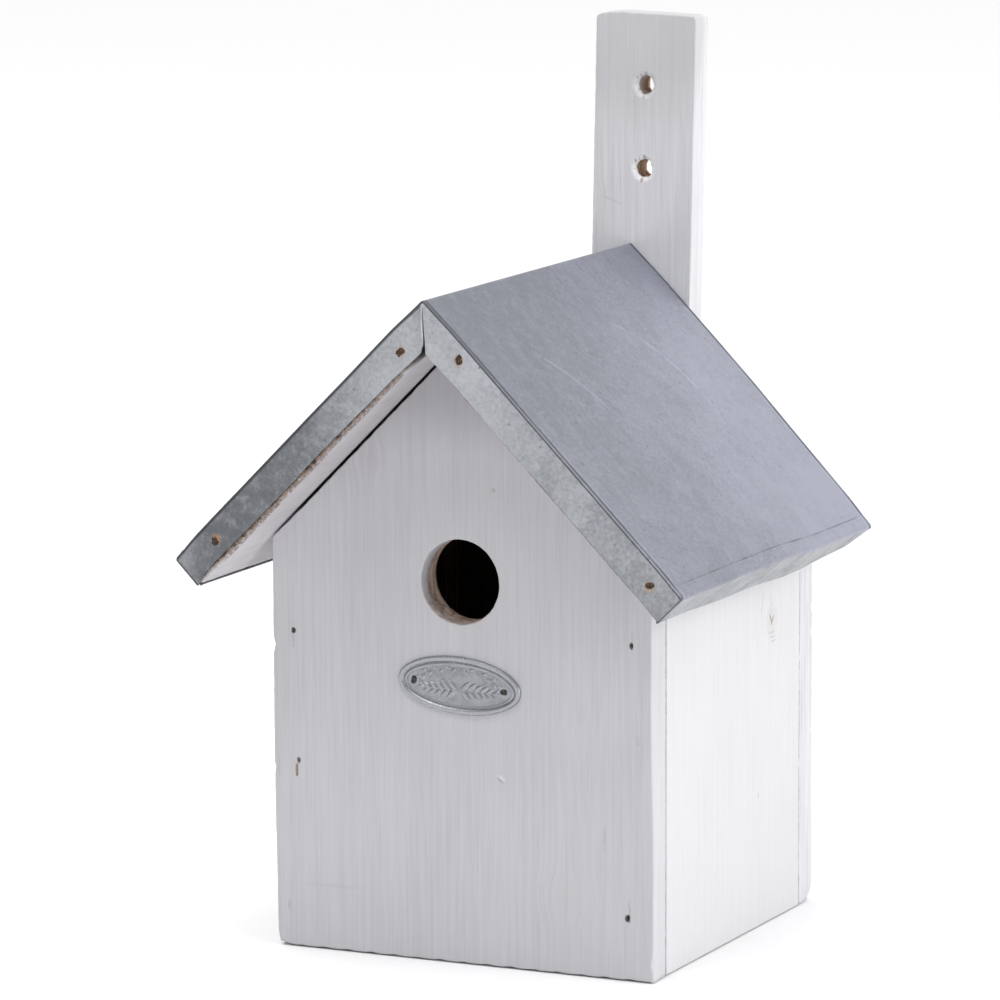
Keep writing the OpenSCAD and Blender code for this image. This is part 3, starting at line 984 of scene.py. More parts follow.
def crowns(node: str) -> list[tuple[float, float]]:
    """Middles of the upright crowns of a node's staples, as (x, z), read off its solids.

    Args:
        node: The staples' CAD node.

    Returns:
        The middles from the lowest up.
    """
    low, high = span(node)
    heights = sorted(vert.co.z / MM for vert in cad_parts[node].data.vertices)
    spots, start = [], heights[0]
    for a, b in zip(heights, [*heights[1:], math.inf]):
        if b - a > CROWN_GAP:
            spots.append(((low.x + high.x) / 2, (start + a) / 2))
            start = b
    return spots


@dataclass(frozen=True)
class Slope:
    """One roof slope's own frame: s runs down it and n square to it, from the underside's peak.

    The slack fields say how the real roof departs from true planes.
    """

    side: Side
    sizes: BoxSizes
    board_t: float = 12.0
    sheet_t: float = 0.6
    fold_r: float = 0.8
    skew_from: float = 36.0
    skew: float = 0.031
    sink_from: float = 52.0
    droop: float = 0.023

    @property
    def skin_n(self) -> float:
        """Height of the sheet's outer face above the boards' underside."""
        return self.board_t + self.sheet_t

    @property
    def fold_out(self) -> float:
        """Outer radius of the folds."""
        return self.fold_r + self.sheet_t

    @property
    def fold_n(self) -> float:
        """Height of the folds' centres."""
        return self.skin_n - self.fold_out

    @property
    def eave_s(self) -> float:
        """Place of the eave flange's outer face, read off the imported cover."""
        centre = (span("roof_cover")[1].x - self.fold_out) / COS - self.fold_n
        return centre + self.fold_out

    @property
    def ridge_centre_s(self) -> float:
        """Place of the ridge fold's centre."""
        return -self.fold_n * TAN

    def at(self, s: float, y: float, n: float) -> Vector:
        """A point of this slope in the frame, on its true plane."""
        x, z = s * COS + n * SIN, self.sizes.gable_top - s * SIN + n * COS
        return Vector((self.side.value * x, y, z))

    def warped(self, s: float, y: float, n: float, lift: float = 0.0) -> Vector:
        """A point of this slope, with the slack that boards and sheet share.

        Args:
            s: Distance down the slope.
            y: Depth in the frame.
            n: Height above the boards' underside.
            lift: A further rise of the sheet alone.

        Returns:
            The point in the frame.
        """
        if self.side is Side.LEFT:
            return self.at(s, y, n + lift)
        fall = self.sink(s, y)
        y -= self.skew * max(0.0, s - self.skew_from) * smooth(0, self.sizes.back_y, y)
        return self.at(s, y, n + lift) - Vector((0, 0, fall))

    def sink(self, s: float, y: float) -> float:
        """How far the right slope hangs below its plane, most at the eave's rear end."""
        slack = self.droop * max(0.0, s - self.sink_from) * smooth(-10, 38, y)
        return slack if self.side is Side.RIGHT else 0.0


@dataclass
class Walls:
    """The four wall panels and the floor."""

    sizes: BoxSizes
    right_slope: Slope
    hole_x: float = -0.4
    hole_z: float = 129.1
    hole_r: float = 13.95
    drain_r: float = 3.0
    drain_in: float = 16.0
    left_proud: float = 1.15
    foot_kick: float = 0.8
    corner_short: float = 0.8
    left_extra: float = 0.8
    # Staple slots deeper than this get painted shadow.
    rusty_depth: float = 0.8
    rise: float = 0.55
    staple_in: float = 3.5
    step: float = 1.5
    skew_in: float = 56.0
    foot_in: float = 48.0
    corner_drop: float = 22.0
    # The front's own grey-lavender wash, made darker than the side panels' as painted shade on the front
    # face.
    paint: Colour = (0.568, 0.563, 0.594)
    thin: Colour = (0.455, 0.448, 0.47)

    def settled(self, x: float, y: float, z: float) -> Vector:
        """A point of a wall, let down under the roof where the right slope sinks."""
        share = smooth(14, 2, self.sizes.gable_top - x * TAN - z)
        return Vector((x, y, z - self.right_slope.sink(x / COS, y) * share))

    def front_place(self, u: float, v: float, w: float) -> Vector:
        """From the front panel's own axes to the frame, where it isn't quite square.

        Args:
            u: Across the panel.
            v: Up the panel.
            w: Depth below its face.

        Returns:
            The point in the frame.
        """
        s = self.sizes
        left = smooth(-self.skew_in, -s.half_w, u)
        right = smooth(self.foot_in, s.half_w, u) * (1 - w / s.wall_t)
        proud = self.left_proud * left * smooth(-15, 75, v)
        kicked = self.foot_kick * right * smooth(95, 40, v)
        short = self.corner_short * left * smooth(s.eave_z - self.corner_drop, s.eave_z, v)
        return Vector((u - proud + kicked, s.front_y + w, v - short))

    def back_place(self, u: float, v: float, w: float) -> Vector:
        """From the back panel's own axes to the frame."""
        return self.settled(u, self.sizes.back_y - w, v)

    @staticmethod
    def seam_bare(_point: Vector, depth: float) -> float:
        """Raw wood where the paint has cracked along a seam near the face."""
        return 0.8 * smooth(0.12, 0.3, depth) * smooth(2.5, 1.2, depth)

    @staticmethod
    def back_seam_bare(_point: Vector, depth: float) -> float:
        """Raw wood where the paint has cracked along a seam near the back."""
        return 0.9 * smooth(11.45, 11.8, depth)

    def hole_bare(self, point: Vector, depth: float) -> float:
        """Paint on the entrance's left wall near the face, raw wood lower down and inside."""
        low = smooth(self.hole_z + 3, self.hole_z - 12, point.y)
        return min(1.0, 0.05 + 0.55 * low + 1.1 * smooth(1.0, 11.0, depth))

    def front(self) -> None:
        """Builds the front panel with the entrance, the staple slots and its small faults."""
        s, face = self.sizes, self.sizes.front_y
        hole = Edge(
            ring((self.hole_x, self.hole_z), (self.hole_r, self.hole_r), 120),
            arris=0.45, back_arris=0.9, wobble=0.22, saw=0.16, bare=self.hole_bare,
        )
        placed = [
            (slot, spot)
            for side in Side
            for group, spot in zip(FRONT_SLOTS[side], crowns(f"{side.prefix}_front_staples"))
            for slot in group
        ]
        slots = [slot.edge(*spot) for slot, spot in placed]
        # Painted shadow, near black, in the deeper staple slots.
        rusted = tuple(
            Mark(
                (spot[0] + slot.aside, face, spot[1] + slot.shift),
                (0.7 * slot.width + 0.25, 3, 0.6 * slot.length), (0.03, 0.028, 0.025), 0.9,
            )
            for slot, spot in placed
            if slot.depth > self.rusty_depth
        )
        chips = (
            Chip((-s.half_w, 102.9, 0), 1.6, 0.9),
            Chip((-s.half_w, 60.8, 1), 1.1, 0.7),
            Chip((-s.half_w + 1, 0, 0), 3.0, 0.9),
            *(Chip((-60 + 8.6 * i, 0, 0), 1.1 + 0.7 * math.sin(5 * i) ** 2, 0.35) for i in range(15)),
            *(
                Chip((-5 * i - 3.5, s.gable_top - 5 * i - 3, 0), 0.9 + math.sin(7 * i) ** 2, 0.16)
                for i in range(13)
            ),
            Chip((s.half_w, 6, 0), 2.2, 0.5),
            Chip((self.hole_x - 12.6, self.hole_z - 5.6, 7.5), 1.7, 0.9),
            Chip((self.hole_x - 10.4, self.hole_z - 9.2, 8.5), 1.5, 0.7),
        )
        finish = WashedPine(
            "front_wash", Grain.UPRIGHT, self.paint, self.thin, 0.6,
            knots=(Knot((38, face, 26), 4.5, 0.06), Knot((-34, face, 168), 3.5, 0.06)),
            marks=(
                # A small raised blob of paint, lighter on top with a dark crescent below: painted highlight
                # and painted shadow.
                Mark((14.6, face, 64.2), (2.0, 1, 0.9), (0.72, 0.72, 0.75), 0.9, (0, 0.6, 0), 2.0),
                Mark((14.2, face, 63.4), (1.9, 1, 0.5), (0.3, 0.3, 0.31), 0.6, (0, 0.6, 0)),
                Mark((11.9, face, 160.6), (0.9, 1, 0.9), (0.26, 0.27, 0.26), 0.85),
                Mark((-48, face, 22), (14, 2, 0.8), (0.40, 0.40, 0.42), 0.25),
                Mark((52, face, 47), (0.7, 1, 6), (0.36, 0.35, 0.37), 0.35),
            ),
            stains=(
                # Painted shade under the roof: at the gable's top and along the right slope.
                Mark((0, face, 214), (66, 6, 46), SHADE, 0.6),
                Mark((36, face, 176), (14, 6, 64), SHADE, 0.6, (0, -PITCH, 0)),
                # A faint broad darkening of the middle of the face.
                Mark((0, face, 110), (55, 6, 70), (0.4, 0.395, 0.41), 0.16),
                # Painted shadow in the deeper staple slots.
                *rusted,
            ),
            fray=0.42, raw_light=(0.6, 0.465, 0.39), raw_dark=(0.26, 0.185, 0.145),
        )
        top = (-0.6, s.gable_top - 0.6 + self.rise)
        outline = [*s.gable()[:4], top, (-s.half_w, s.eave_z + self.rise - 0.3)]
        board = Board(
            "front_board", "painted_front", "front_panel", self.front_place, s.wall_t,
            Edge(dense(outline, self.step), None, 0.55, 0.45, 0.16, 0.1, self.back_seam_bare),
            [hole, *slots], chips, seed=1.7,
        )
        board.build(finish.material())

    def back(self) -> None:
        """Builds the back panel."""
        s, face = self.sizes, self.sizes.back_y
        finish = WashedPine(
            "back_wash", Grain.UPRIGHT, (0.66, 0.655, 0.685), self.thin, 0.75,
            knots=(Knot((-36, face, 96), 6.5, 0.2), Knot((41, face, 40), 5.0, 0.14)),
            marks=(Mark((44, face, 118), (9, 2, 1.2), (0.4, 0.4, 0.42), 0.3, (0, 0.9, 0)),),
            # Near-black raw wood: painted shade for the box's inside, which shows through the entrance.
            raw_light=(0.15, 0.105, 0.075), raw_dark=(0.1, 0.068, 0.048),
        )
        chips = (
            Chip((s.half_w, 0, 0), 2.8, 1.3),
            Chip((s.half_w, 94, 0), 1.8, 0.6),
            Chip((s.half_w, 103, 0), 1.4, 0.5),
            Chip((s.half_w, 60, 0), 1.5, 0.4),
            Chip((-s.half_w, 31, 0), 2.0, 0.8),
            Chip((-22, 0, 0), 8.0, 0.6),
        )
        slots = [Slot().edge(*spot) for side in Side for spot in crowns(f"{side.prefix}_rear_staples")]
        low, high = span("rear_floor_staples")
        middle = (low.z + high.z) / 2
        ends = (low.x + self.staple_in, high.x - self.staple_in)
        slots += [Slot().edge(x, middle, lying=True) for x in ends]
        board = Board(
            "back_board", "painted_wall", "back_panel", self.back_place, s.wall_t,
            Edge(dense(s.gable(), self.step), None, 0.5, 0.45, 0.16, 0.12, self.back_seam_bare),
            slots, chips, seed=4.1,
        )
        board.build(finish.material())

    def side(self, side: Side) -> None:
        """Builds a side panel, its upper edge bevelled to the roof's pitch.

        Args:
            side: Which of the two.
        """
        s = self.sizes
        low, high = span(f"{side.prefix}_side_panel")
        outer = s.half_w
        extra = self.left_extra if side is Side.LEFT else 0.0

        def place(u: float, v: float, w: float) -> Vector:
            """From the panel's own axes to the frame, its top rising with its depth."""
            lift = (w * TAN + extra) * smooth(s.eave_z - 3, s.eave_z, v)
            return Vector((side.value * (outer - w), u, self.settled(side.value * outer, u, v).z + lift))

        corners = [(low.y, 0), (high.y, 0), (high.y, s.eave_z), (low.y, s.eave_z)]
        if side is Side.RIGHT:
            knots = (
                Knot((outer, s.front_y + 100.8, 104.4), 5.0, 0.16),
                Knot((outer, s.front_y + 41, 31), 3.4, 0.07),
            )
            marks = (
                Mark((outer, s.front_y + 89.7, 45.9), (1, 0.8, 1.6), STROKE, 0.6),
                Mark((outer, s.front_y + 92.8, 112), (1, 0.45, 6), (0.40, 0.39, 0.40), 0.7, (-0.3, 0, 0)),
                Mark((outer, s.front_y + 100.2, 105.2), (1, 0.7, 3.0), SCORE, 1.0, (0.6, 0, 0)),
                Mark((outer, s.front_y + 101.6, 104.6), (1, 0.7, 2.6), SCORE, 1.0, (-0.7, 0, 0)),
                Mark((outer, s.front_y + 100.6, 110), (1, 0.6, 5), (0.42, 0.41, 0.42), 0.6, (0.08, 0, 0)),
                *(
                    Mark(
                        (outer, s.front_y + 101 + 0.8 * i, 100.4 - 1.6 * i),
                        (1, 3.2, 0.55), (0.42, 0.4, 0.4), 0.7,
                    )
                    for i in range(3)
                ),
            )
            slots = []
        else:
            knots = (
                Knot((-outer, s.front_y + 60, 88), 6.0, 0.2),
                Knot((-outer, s.front_y + 97, 36), 4, 0.15),
            )
            marks = (Mark((-outer, s.front_y + 35, 120), (1, 6, 1), STROKE, 0.35),)
            near, far = span("left_floor_staples")
            ends = (near.y + self.staple_in, far.y - self.staple_in)
            slots = [Slot().edge(y, (near.z + far.z) / 2, lying=True) for y in ends]
        finish = WashedPine(
            f"{side.prefix}_wash", Grain.UPRIGHT, (0.63, 0.63, 0.65), (0.55, 0.545, 0.565), 0.5, knots, marks
        )
        board = Board(
            f"{side.prefix}_side_board", "painted_wall", f"{side.prefix}_side_panel", place, s.wall_t,
            Edge(dense(corners, 1.6), None, 0.35, 0.3, 0.1, 0.06, self.seam_bare),
            slots, seed=7.0 + side.value, back_bare=0.9,
        )
        board.build(finish.material())

    def floor(self) -> None:
        """Builds the floor board with its four drain holes."""
        low, high = span("floor_panel")
        corners = [(low.x, low.y), (high.x, low.y), (high.x, high.y), (low.x, high.y)]
        inner_x, inner_y = self.sizes.half_w - self.sizes.wall_t, self.sizes.wall_t
        drains = [
            Edge(ring((x, y), (self.drain_r, self.drain_r), 36), arris=0.3, wobble=0.2, saw=0.15)
            for x in (self.drain_in - inner_x, inner_x - self.drain_in)
            for y in (
                self.sizes.front_y + inner_y + self.drain_in,
                self.sizes.back_y - inner_y - self.drain_in,
            )
        ]
        board = Board(
            "floor_board", "raw_pine", "floor_panel", lambda u, v, w: Vector((u, v, w)), high.z - low.z,
            Edge(dense(corners, 1.6), arris=0.4, back_arris=0.4, wobble=0.12, saw=0.1), drains, seed=9.2,
        )
        board.build(RawPine("floor_pine", Grain.DEPTH).material())

    def build(self) -> None:
        """Builds all the walls and the floor."""
        self.front()
        self.back()
        for side in Side:
            self.side(side)
        self.floor()


@dataclass
class RoofBoards:
    """The two roof boards, painted below and raw at their sawn ends."""

    slopes: dict[Side, Slope]
    gap: float = 0.9
    parts: int = 8
    cup: float = 0.5
    ridge_tuck: float = 2.6
    end_back: float = 3.2
    arris_marks: tuple[float, ...] = (16, 30, 43, 57, 70, 82, 96)
    seam_marks: tuple[float, ...] = (8, 30, 52, 73)
    # The boards' wash, darker than the walls': painted shade on their undersides.
    paint: Colour = (0.565, 0.545, 0.57)
    thin: Colour = (0.47, 0.45, 0.47)

    @staticmethod
    def bare(point: Vector, depth: float) -> float:
        """Raw wood on the sawn edges, with paint lapping round the lower arris."""
        return smooth(-0.2, 1.5, depth) - 0.15 * smooth(85, 112, point.x)

    def place(self, slope: Slope, end_s: float, front: float, u: float, v: float, w: float) -> Vector:
        """From a board's own axes to the frame: mitred at the ridge, cupped or skewed by its slope.

        Args:
            slope: The board's slope.
            end_s: The board's lower end.
            front: The board's front end, tucked in at the ridge.
            u: Down the slope.
            v: Depth in the frame.
            w: Height above the underside.

        Returns:
            The point in the frame.
        """
        if slope.side is Side.LEFT:
            cupped = smooth(front + 1, front + 24, v) * smooth(116, 101, u)
            w += (cupped + self.cup * smooth(106, end_s, u)) * (1 - w / slope.board_t)
        mitre = w * TAN * (1 - smooth(0, 14, u))
        tuck = self.ridge_tuck * smooth(13, 4, u) * smooth(front + 8, front, v)
        skewed = slope.side is Side.RIGHT
        back = self.end_back * smooth(8, 60, v) * smooth(90, end_s, u) if skewed else 0.0
        return slope.warped(u - mitre - back, v + tuck, w)

    def worn_arris(self, slope: Slope, front: float) -> tuple[Mark, ...]:
        """Torn and soiled paint along the front arris of a board's underside.

        Args:
            slope: The board's slope.
            front: The board's front end.

        Returns:
            The marks, down the slope.
        """
        turn = (0, -slope.side.value * PITCH, 0)
        return tuple(
            Mark(
                tuple(slope.at(s, front, 0)), (1.6, 1.0 + 1.2 * math.sin(3 * s) ** 2, 11),
                (0.12, 0.08, 0.065), 0.7, turn,
            )
            for s in self.arris_marks
        )

    def dark_seam(self, slope: Slope) -> tuple[Mark, ...]:
        """Painted shadow in the gap between a board's underside and the front panel's slanted edge.

        Args:
            slope: The board's slope.

        Returns:
            The painted shadows, down the slope.
        """
        turn = (0, -slope.side.value * PITCH, 0)
        inside = slope.sizes.front_y
        return tuple(
            Mark(tuple(slope.at(s, inside + deep, 1)), (3, wide, 22), SHADOW, 0.95, turn)
            for s in self.seam_marks
            for deep, wide in ((1.5, 1.6), (4.2, 3.0))
        )

    def build(self) -> None:
        """Builds both boards, their undersides as their faces."""
        cover = span("roof_cover")
        for side, slope in self.slopes.items():
            end_s = slope.eave_s - self.gap
            front, rear = cover[0].y + self.gap, cover[1].y - self.gap
            corners = [(0.0, front), (end_s, front), (end_s, rear), (0.0, rear)]
            finish = WashedPine(
                f"{side.prefix}_roof_wash", Grain.DEPTH, self.paint, self.thin, 0.9,
                marks=self.worn_arris(slope, front),
                stains=(
                    # Painted shadow on the boards' front ends at the ridge.
                    Mark((0, front, slope.sizes.gable_top + 3), (15, 7, 12), SHADOW, 0.96),
                    *self.dark_seam(slope),
                ),
                # Very dark raw wood: partly painted shade on the sawn ends, which sit under the flanges.
                fray=0.25, raw_light=(0.31, 0.215, 0.155), raw_dark=(0.06, 0.036, 0.024),
            )
            board = Board(
                f"{side.prefix}_roof_plank", "painted_roof_board", f"{side.prefix}_roof_board",
                partial(self.place, slope, end_s, front),
                slope.board_t - 0.05,
                Edge(dense(corners, 1.1), arris=0.5, back_arris=1.2, wobble=0.3, saw=0.25, bare=self.bare),
                cuts=(
                    *((0, end_s * i / self.parts) for i in range(1, self.parts)),
                    *((1, front + (rear - front) * i / self.parts) for i in range(1, self.parts)),
                ),
                seed=12.0 + side.value,
            )
            board.build(finish.material())


class Part(Enum):
    """The stretch of folded sheet that a row or column of its grid belongs to."""

    FLANGE = "flange"
    FOLD = "fold"
    FLAT = "flat"
    RIDGE = "ridge"


@dataclass(frozen=True)
class Station:
    """One row or column of the sheet: its place, its drop below the skin and its turn."""

    at: float
    drop: float
    part: Part
    turn: float = 0.0


@dataclass(frozen=True)
class Line:
    """A line along the sheet of painted shade, its strength below 0, or of painted highlight, above 0."""

    middle: float
    width: float
    strength: float

    def at(self, place: float) -> float:
        """The line's tone at a place across it."""
        return self.strength * hump(self.middle, self.width, place)


@dataclass
class ZincCover:
    """The folded sheet over both slopes, one piece with its flanges, as slack as the real one."""

    slopes: dict[Side, Slope]
    end_flange: float = 12.0
    eave_flange: dict[Side, float] = field(default_factory=lambda: {Side.LEFT: 12.0, Side.RIGHT: 14.0})
    end_fold: float = 0.65
    crease_in: float = 5.0
    # Lines of painted shade, below 0, and painted highlight, above 0: in the groove behind the end folds, on
    # the rims, on the folds, at the left flange's mitred end and in the creases.
    groove: Line = Line(1.35, 0.72, -1.15)
    rim_light: Line = Line(3.0, 0.5, 0.3)
    rim_dirt: Line = Line(4.3, 0.6, -0.2)
    fold_dirt: Line = Line(88, 27, -0.95)
    ridge_dirt: Line = Line(25, 35, -0.6)
    fold_light: Line = Line(42, 14, 0.12)
    eave_light: Line = Line(45, 25, 0.12)
    mitre_light: Line = Line(0.2, 0.35, 1.3)
    crease: Line = Line(0.0, 0.4, -1.0)
    second_crease: Line = Line(1.2, 0.35, -1.0)
    crease_depth: float = 0.12
    groove_depth: float = 0.2
    groove_width: float = 0.42
    left_rise: float = 0.6
    right_rise: float = 0.38
    lap: float = 0.85
    mitre_gap: float = 0.18
    tip_cut: float = 1.1
    front_cut: float = 1.35
    rear_cut: float = 0.112
    eave_tuck: float = 0.3
    splay: float = 0.12
    beak: Line = Line(0, 1.5, 0.42)
    hem: float = 0.45
    low_hem: float = 0.55
    most_front: float = 0.55
    most_rear: float = 0.1
    grid_y: float = 4.0
    grid_s: float = 3.6
    fold_lines: tuple[float, ...] = (0.85, 1.05, 1.3, 1.6, 1.9, 2.3, 2.7, 3.1, 3.6, 4.3, 5.0)
    crease_lines: tuple[float, ...] = (-1.55, -1.2, -0.85, -0.35, 0.0, 0.35, 0.7)
    merge: float = 0.01
    front_clip: float = 0.3
    rear_clip: float = 8.0
    end_clip: float = 7.0
    corner_gap: float = 0.95
    top: Zinc | None = None
    flanges: Zinc | None = None

    def stations(
        self, start: float, end: float, step: float, fold: float, flange: float,
        near_end: Sequence[float], near_start: Sequence[float] = (), drops: Sequence[float] = (),
    ) -> list[Station]:
        """Rows or columns from one flat end to its fold and down its flange.

        Args:
            start: The first flat place.
            end: The outer face of the flange.
            step: The spacing on the flat.
            fold: The fold's outer radius.
            flange: The flange's depth.
            near_end: Distances in from the flange of further flat ones, for creases there.
            near_start: Distances from the start of further flat ones.
            drops: Depths of further ones on the flange.

        Returns:
            The stations, outwards.
        """
        way = 1 if end > start else -1
        centre = end - way * fold
        count = round(abs(centre - start) / step)
        close = [end - way * d for d in near_end] + [start + way * d for d in near_start]
        flat = [start + (centre - start) * i / count for i in range(1, count)]
        flat = [p for p in flat if min(abs(p - q) for q in close) > 0.3]
        flat += [start, centre, *close]
        out = [Station(p, 0, Part.FLAT) for p in sorted(flat, key=lambda p: way * p)]
        for angle in (15, 30, 45, 60, 75, 90):
            turn = math.radians(angle)
            place = centre + way * fold * math.sin(turn)
            out.append(Station(place, fold * (1 - math.cos(turn)), Part.FOLD, turn))
        count = max(3, round(flange / 1.2))
        deep = [fold + (flange - fold) * i / count for i in range(1, count + 1)]
        deep = [d for d in deep if min((abs(d - e) for e in drops), default=9) > 0.2]
        out += [Station(end, d, Part.FLANGE, math.pi / 2) for d in sorted({*deep, *drops, flange})]
        return out

    def lift(self, side: Side, s: float, y: float) -> float:
        """How far the sheet stands off its true plane.

        Args:
            side: The slope's side.
            s: Distance down the slope.
            y: Depth in the frame.

        Returns:
            The rise in millimetres.
        """
        slope = self.slopes[side]
        low, high = span("roof_cover")
        crease = slope.eave_s - self.crease_in
        inner = slope.ridge_centre_s
        body = smooth(inner, inner + 16, s) * (0.35 + 0.65 * smooth(crease + 0.5, crease - 7, s))
        body *= smooth(slope.eave_s - 0.3, crease + 0.6, s)
        tall = self.left_rise if side is Side.LEFT else self.right_rise
        buckle = 0.13 * ripple(Vector((s, y, 0)), 38, 3.0 * side.value)
        buckle += 0.05 * ripple(Vector((s, y, 9)), 13, 8.0)
        front, rear = low.y + self.groove.middle, high.y - self.groove.middle
        trough = hump(front, self.groove_width, y) + 0.6 * hump(rear, self.groove_width, y)
        fold = self.crease_depth * hump(crease, self.crease.width, s)
        return body * (tall + buckle) - self.groove_depth * trough * smooth(inner, inner + 9, s) - fold

    def column_s(self, station: Station, row: Station, slope: Slope, inner: float, outer: float) -> float:
        """Place down the slope of a column at a row, fanned out where an end flange is mitred.

        Args:
            station: The column.
            row: The row.
            slope: The slope that they are on.
            inner: Place of the ridge fold's centre.
            outer: Place of the eave fold's centre.

        Returns:
            The distance down the slope.
        """
        n = slope.skin_n - row.drop
        limit = span("roof_cover")[1].x / COS - n - 0.08
        if row.part is not Part.FLANGE:
            edge = smooth(outer - 0.6, outer, station.at)
            return min(limit, station.at + 0.85 * slope.fold_out * math.sin(row.turn) * edge)
        deep = max(0.0, row.drop - slope.fold_out) / self.end_flange
        lap = self.lap * smooth(0.05, 0.9, deep) if row.at < 0 else 0.0
        gap = self.mitre_gap * deep + lap
        if slope.side is Side.LEFT:
            tip = smooth(self.end_flange - 1.8, self.end_flange, row.drop) ** 1.5
            gap += self.mitre_gap * smooth(0, 0.1, deep) - 2 * lap + self.tip_cut * tip
        top = (gap - min(n, slope.fold_n) * SIN) / COS
        share = (station.at - inner) / (outer - inner)
        reach = slope.fold_out - 0.04
        if slope.side is Side.RIGHT and row.at > 0:
            reach -= self.end_clip * deep
        return min(limit, top + (outer + reach - top) * share)

    def eave_drop(self, column: Station, slope: Slope, y: float) -> float:
        """Depth of an eave flange's vertex below the skin, the right flange cut by eye.

        Args:
            column: The column.
            slope: The slope that it is on.
            y: Depth in the frame.

        Returns:
            The depth in millimetres.
        """
        out, full = slope.fold_out, self.eave_flange[slope.side]
        if slope.side is Side.LEFT:
            ragged = 0.4 + 0.12 * ripple(Vector((0, y, 4)), 24, 2.6)
        else:
            cut = self.front_cut * smooth(-25, -60, y) + self.rear_cut * max(0.0, y - 28)
            ragged = 0.55 - cut + 0.2 * ripple(Vector((0, y, 0)), 9, 2)
        return column.drop + (column.drop - out) / (full - out) * ragged

    def seam(self, side: Side, column: Station, row: Station) -> float:
        """Painted shade in creases and under edges, below 0, and painted highlights on folds, above 0.

        Args:
            side: The slope's side.
            column: The vertex's column.
            row: Its row.

        Returns:
            The value of the mesh attribute that carries the painted light and shade.
        """
        slope = self.slopes[side]
        edge = slope.eave_s - slope.fold_out
        low, high = span("roof_cover")
        past = column.at - (slope.eave_s - self.crease_in)
        away = min(row.at - low.y, high.y - row.at)
        down = smooth(8, 55, column.at) if column.part is not Part.RIDGE else 0.0
        # How strongly the groove's painted shade shows, varying down the slope.
        worn = 0.8 + 0.5 * ripple(Vector((column.at, 0, 0)), 7, 4.0)
        value = 0.0
        # The end folds: painted shade on their flange side and near the ridge, a faint painted highlight
        # between.
        if row.part is Part.FOLD:
            degrees = math.degrees(row.turn)
            value += self.fold_dirt.at(degrees) + (1 - down) * self.ridge_dirt.at(degrees)
            value += self.fold_light.at(degrees) * down
        elif row.part is Part.FLAT:
            # Painted shade in the groove behind the end folds, and a painted highlight and painted shade
            # along the rims.
            value += worn * self.groove.at(away)
            value += (self.rim_light.at(away) + self.rim_dirt.at(away)) * down
        elif side is Side.LEFT:
            # Left flanges: a painted highlight on the mitred end at the ridge, painted shade just beside it
            # and along the outer end at the eave.
            run = column.at - slope.ridge_centre_s
            value += self.mitre_light.at(run) * smooth(12, 8, row.drop) - 0.3 * smooth(9, 1, run)
            value -= smooth(edge - 1.0, edge - 0.2, column.at)
        else:
            # Right flanges: painted shade along the outer end at the eave, and painted shadow in dashes
            # under the lower edge.
            value -= smooth(edge - 0.75, edge, column.at)
            dashes = smooth(0.0, 0.3, ripple(Vector((column.at, 0, 0)), 6, 9.0)) * smooth(35, 45, column.at)
            foot = smooth(35, 50, column.at) * smooth(self.end_flange - 0.5, self.end_flange, row.drop)
            value -= (0.5 + 0.3 * dashes) * foot
        # Painted shade near the top of the left front flange.
        if side is Side.LEFT and row.at < 0 and row.part is not Part.FLAT:
            value -= 1.1 * smooth(1.5, 0.7, row.drop)
        # Painted shade on the right eave flange near the front corner.
        if column.part is Part.FLANGE and side is Side.RIGHT:
            value -= 0.5 * smooth(2.2, 0.9, row.at - low.y)
        # A painted highlight on the eave fold.
        if column.part is Part.FOLD:
            value += self.eave_light.at(math.degrees(column.turn))
        # Painted shade along the two crease lines near the eave.
        if column.part is Part.FLAT and row.part is Part.FLAT:
            grip = 0.55 + 0.4 * ripple(Vector((0, row.at, 0)), 11, 4.0)
            faint = 0.25 + 0.3 * ripple(Vector((0, row.at, 5)), 9, 2.0)
            lines = grip * self.crease.at(past) + faint * self.second_crease.at(past)
            value += lines * smooth(3, 9, away)
        return value

    def build(self) -> None:
        """Builds the cover."""
        bm = bmesh.new()
        # The attribute that carries the sheet's painted shade and highlights.
        seam = bm.verts.layers.float.new("seam")
        low, high = span("roof_cover")
        any_slope = self.slopes[Side.RIGHT]
        out, middle_y = any_slope.fold_out, (low.y + high.y) / 2
        drops = (0.95, out, self.end_flange - 0.5)
        front_rows, rear_rows = (
            self.stations(
                middle_y, end, self.grid_y, self.end_fold, self.end_flange, self.fold_lines, drops=drops
            )
            for end in (low.y, high.y)
        )
        rows = [*reversed(front_rows), *rear_rows[1:]]
        for side, slope in self.slopes.items():
            flange = self.eave_flange[side]
            creases = [1.9, 2.4, *(self.crease_in + d for d in self.crease_lines)]
            columns = self.stations(
                slope.ridge_centre_s, slope.eave_s, self.grid_s, out, flange, creases,
                near_start=(0.45, 0.9, 1.8), drops=(flange - 0.35,),
            )
            ridge = [Station(slope.ridge_centre_s, 0, Part.RIDGE, math.radians(a)) for a in (45, 30, 15)]
            columns = [*ridge, *columns]
            grid = {}
            for k, row in enumerate(rows):
                for i, column in enumerate(columns):
                    if row.part is Part.FLANGE and column.part is Part.RIDGE and row.drop > out:
                        continue
                    if row.part is not Part.FLAT and column.part in (Part.FOLD, Part.FLANGE):
                        continue
                    vert = bm.verts.new(self.point(slope, column, row, low.y, high.y))
                    vert[seam] = self.seam(side, column, row)
                    grid[i, k] = vert
            for i in range(len(columns) - 1):
                for k in range(len(rows) - 1):
                    corners = [(i, k), (i + 1, k), (i + 1, k + 1), (i, k + 1)]
                    if all(c in grid for c in corners):
                        if side is Side.RIGHT:
                            corners.reverse()
                        face = bm.faces.new([grid[c] for c in corners])
                        face.smooth = True
                        parts = {columns[i].part, columns[i + 1].part, rows[k].part, rows[k + 1].part}
                        face.material_index = int(Part.FLANGE in parts)
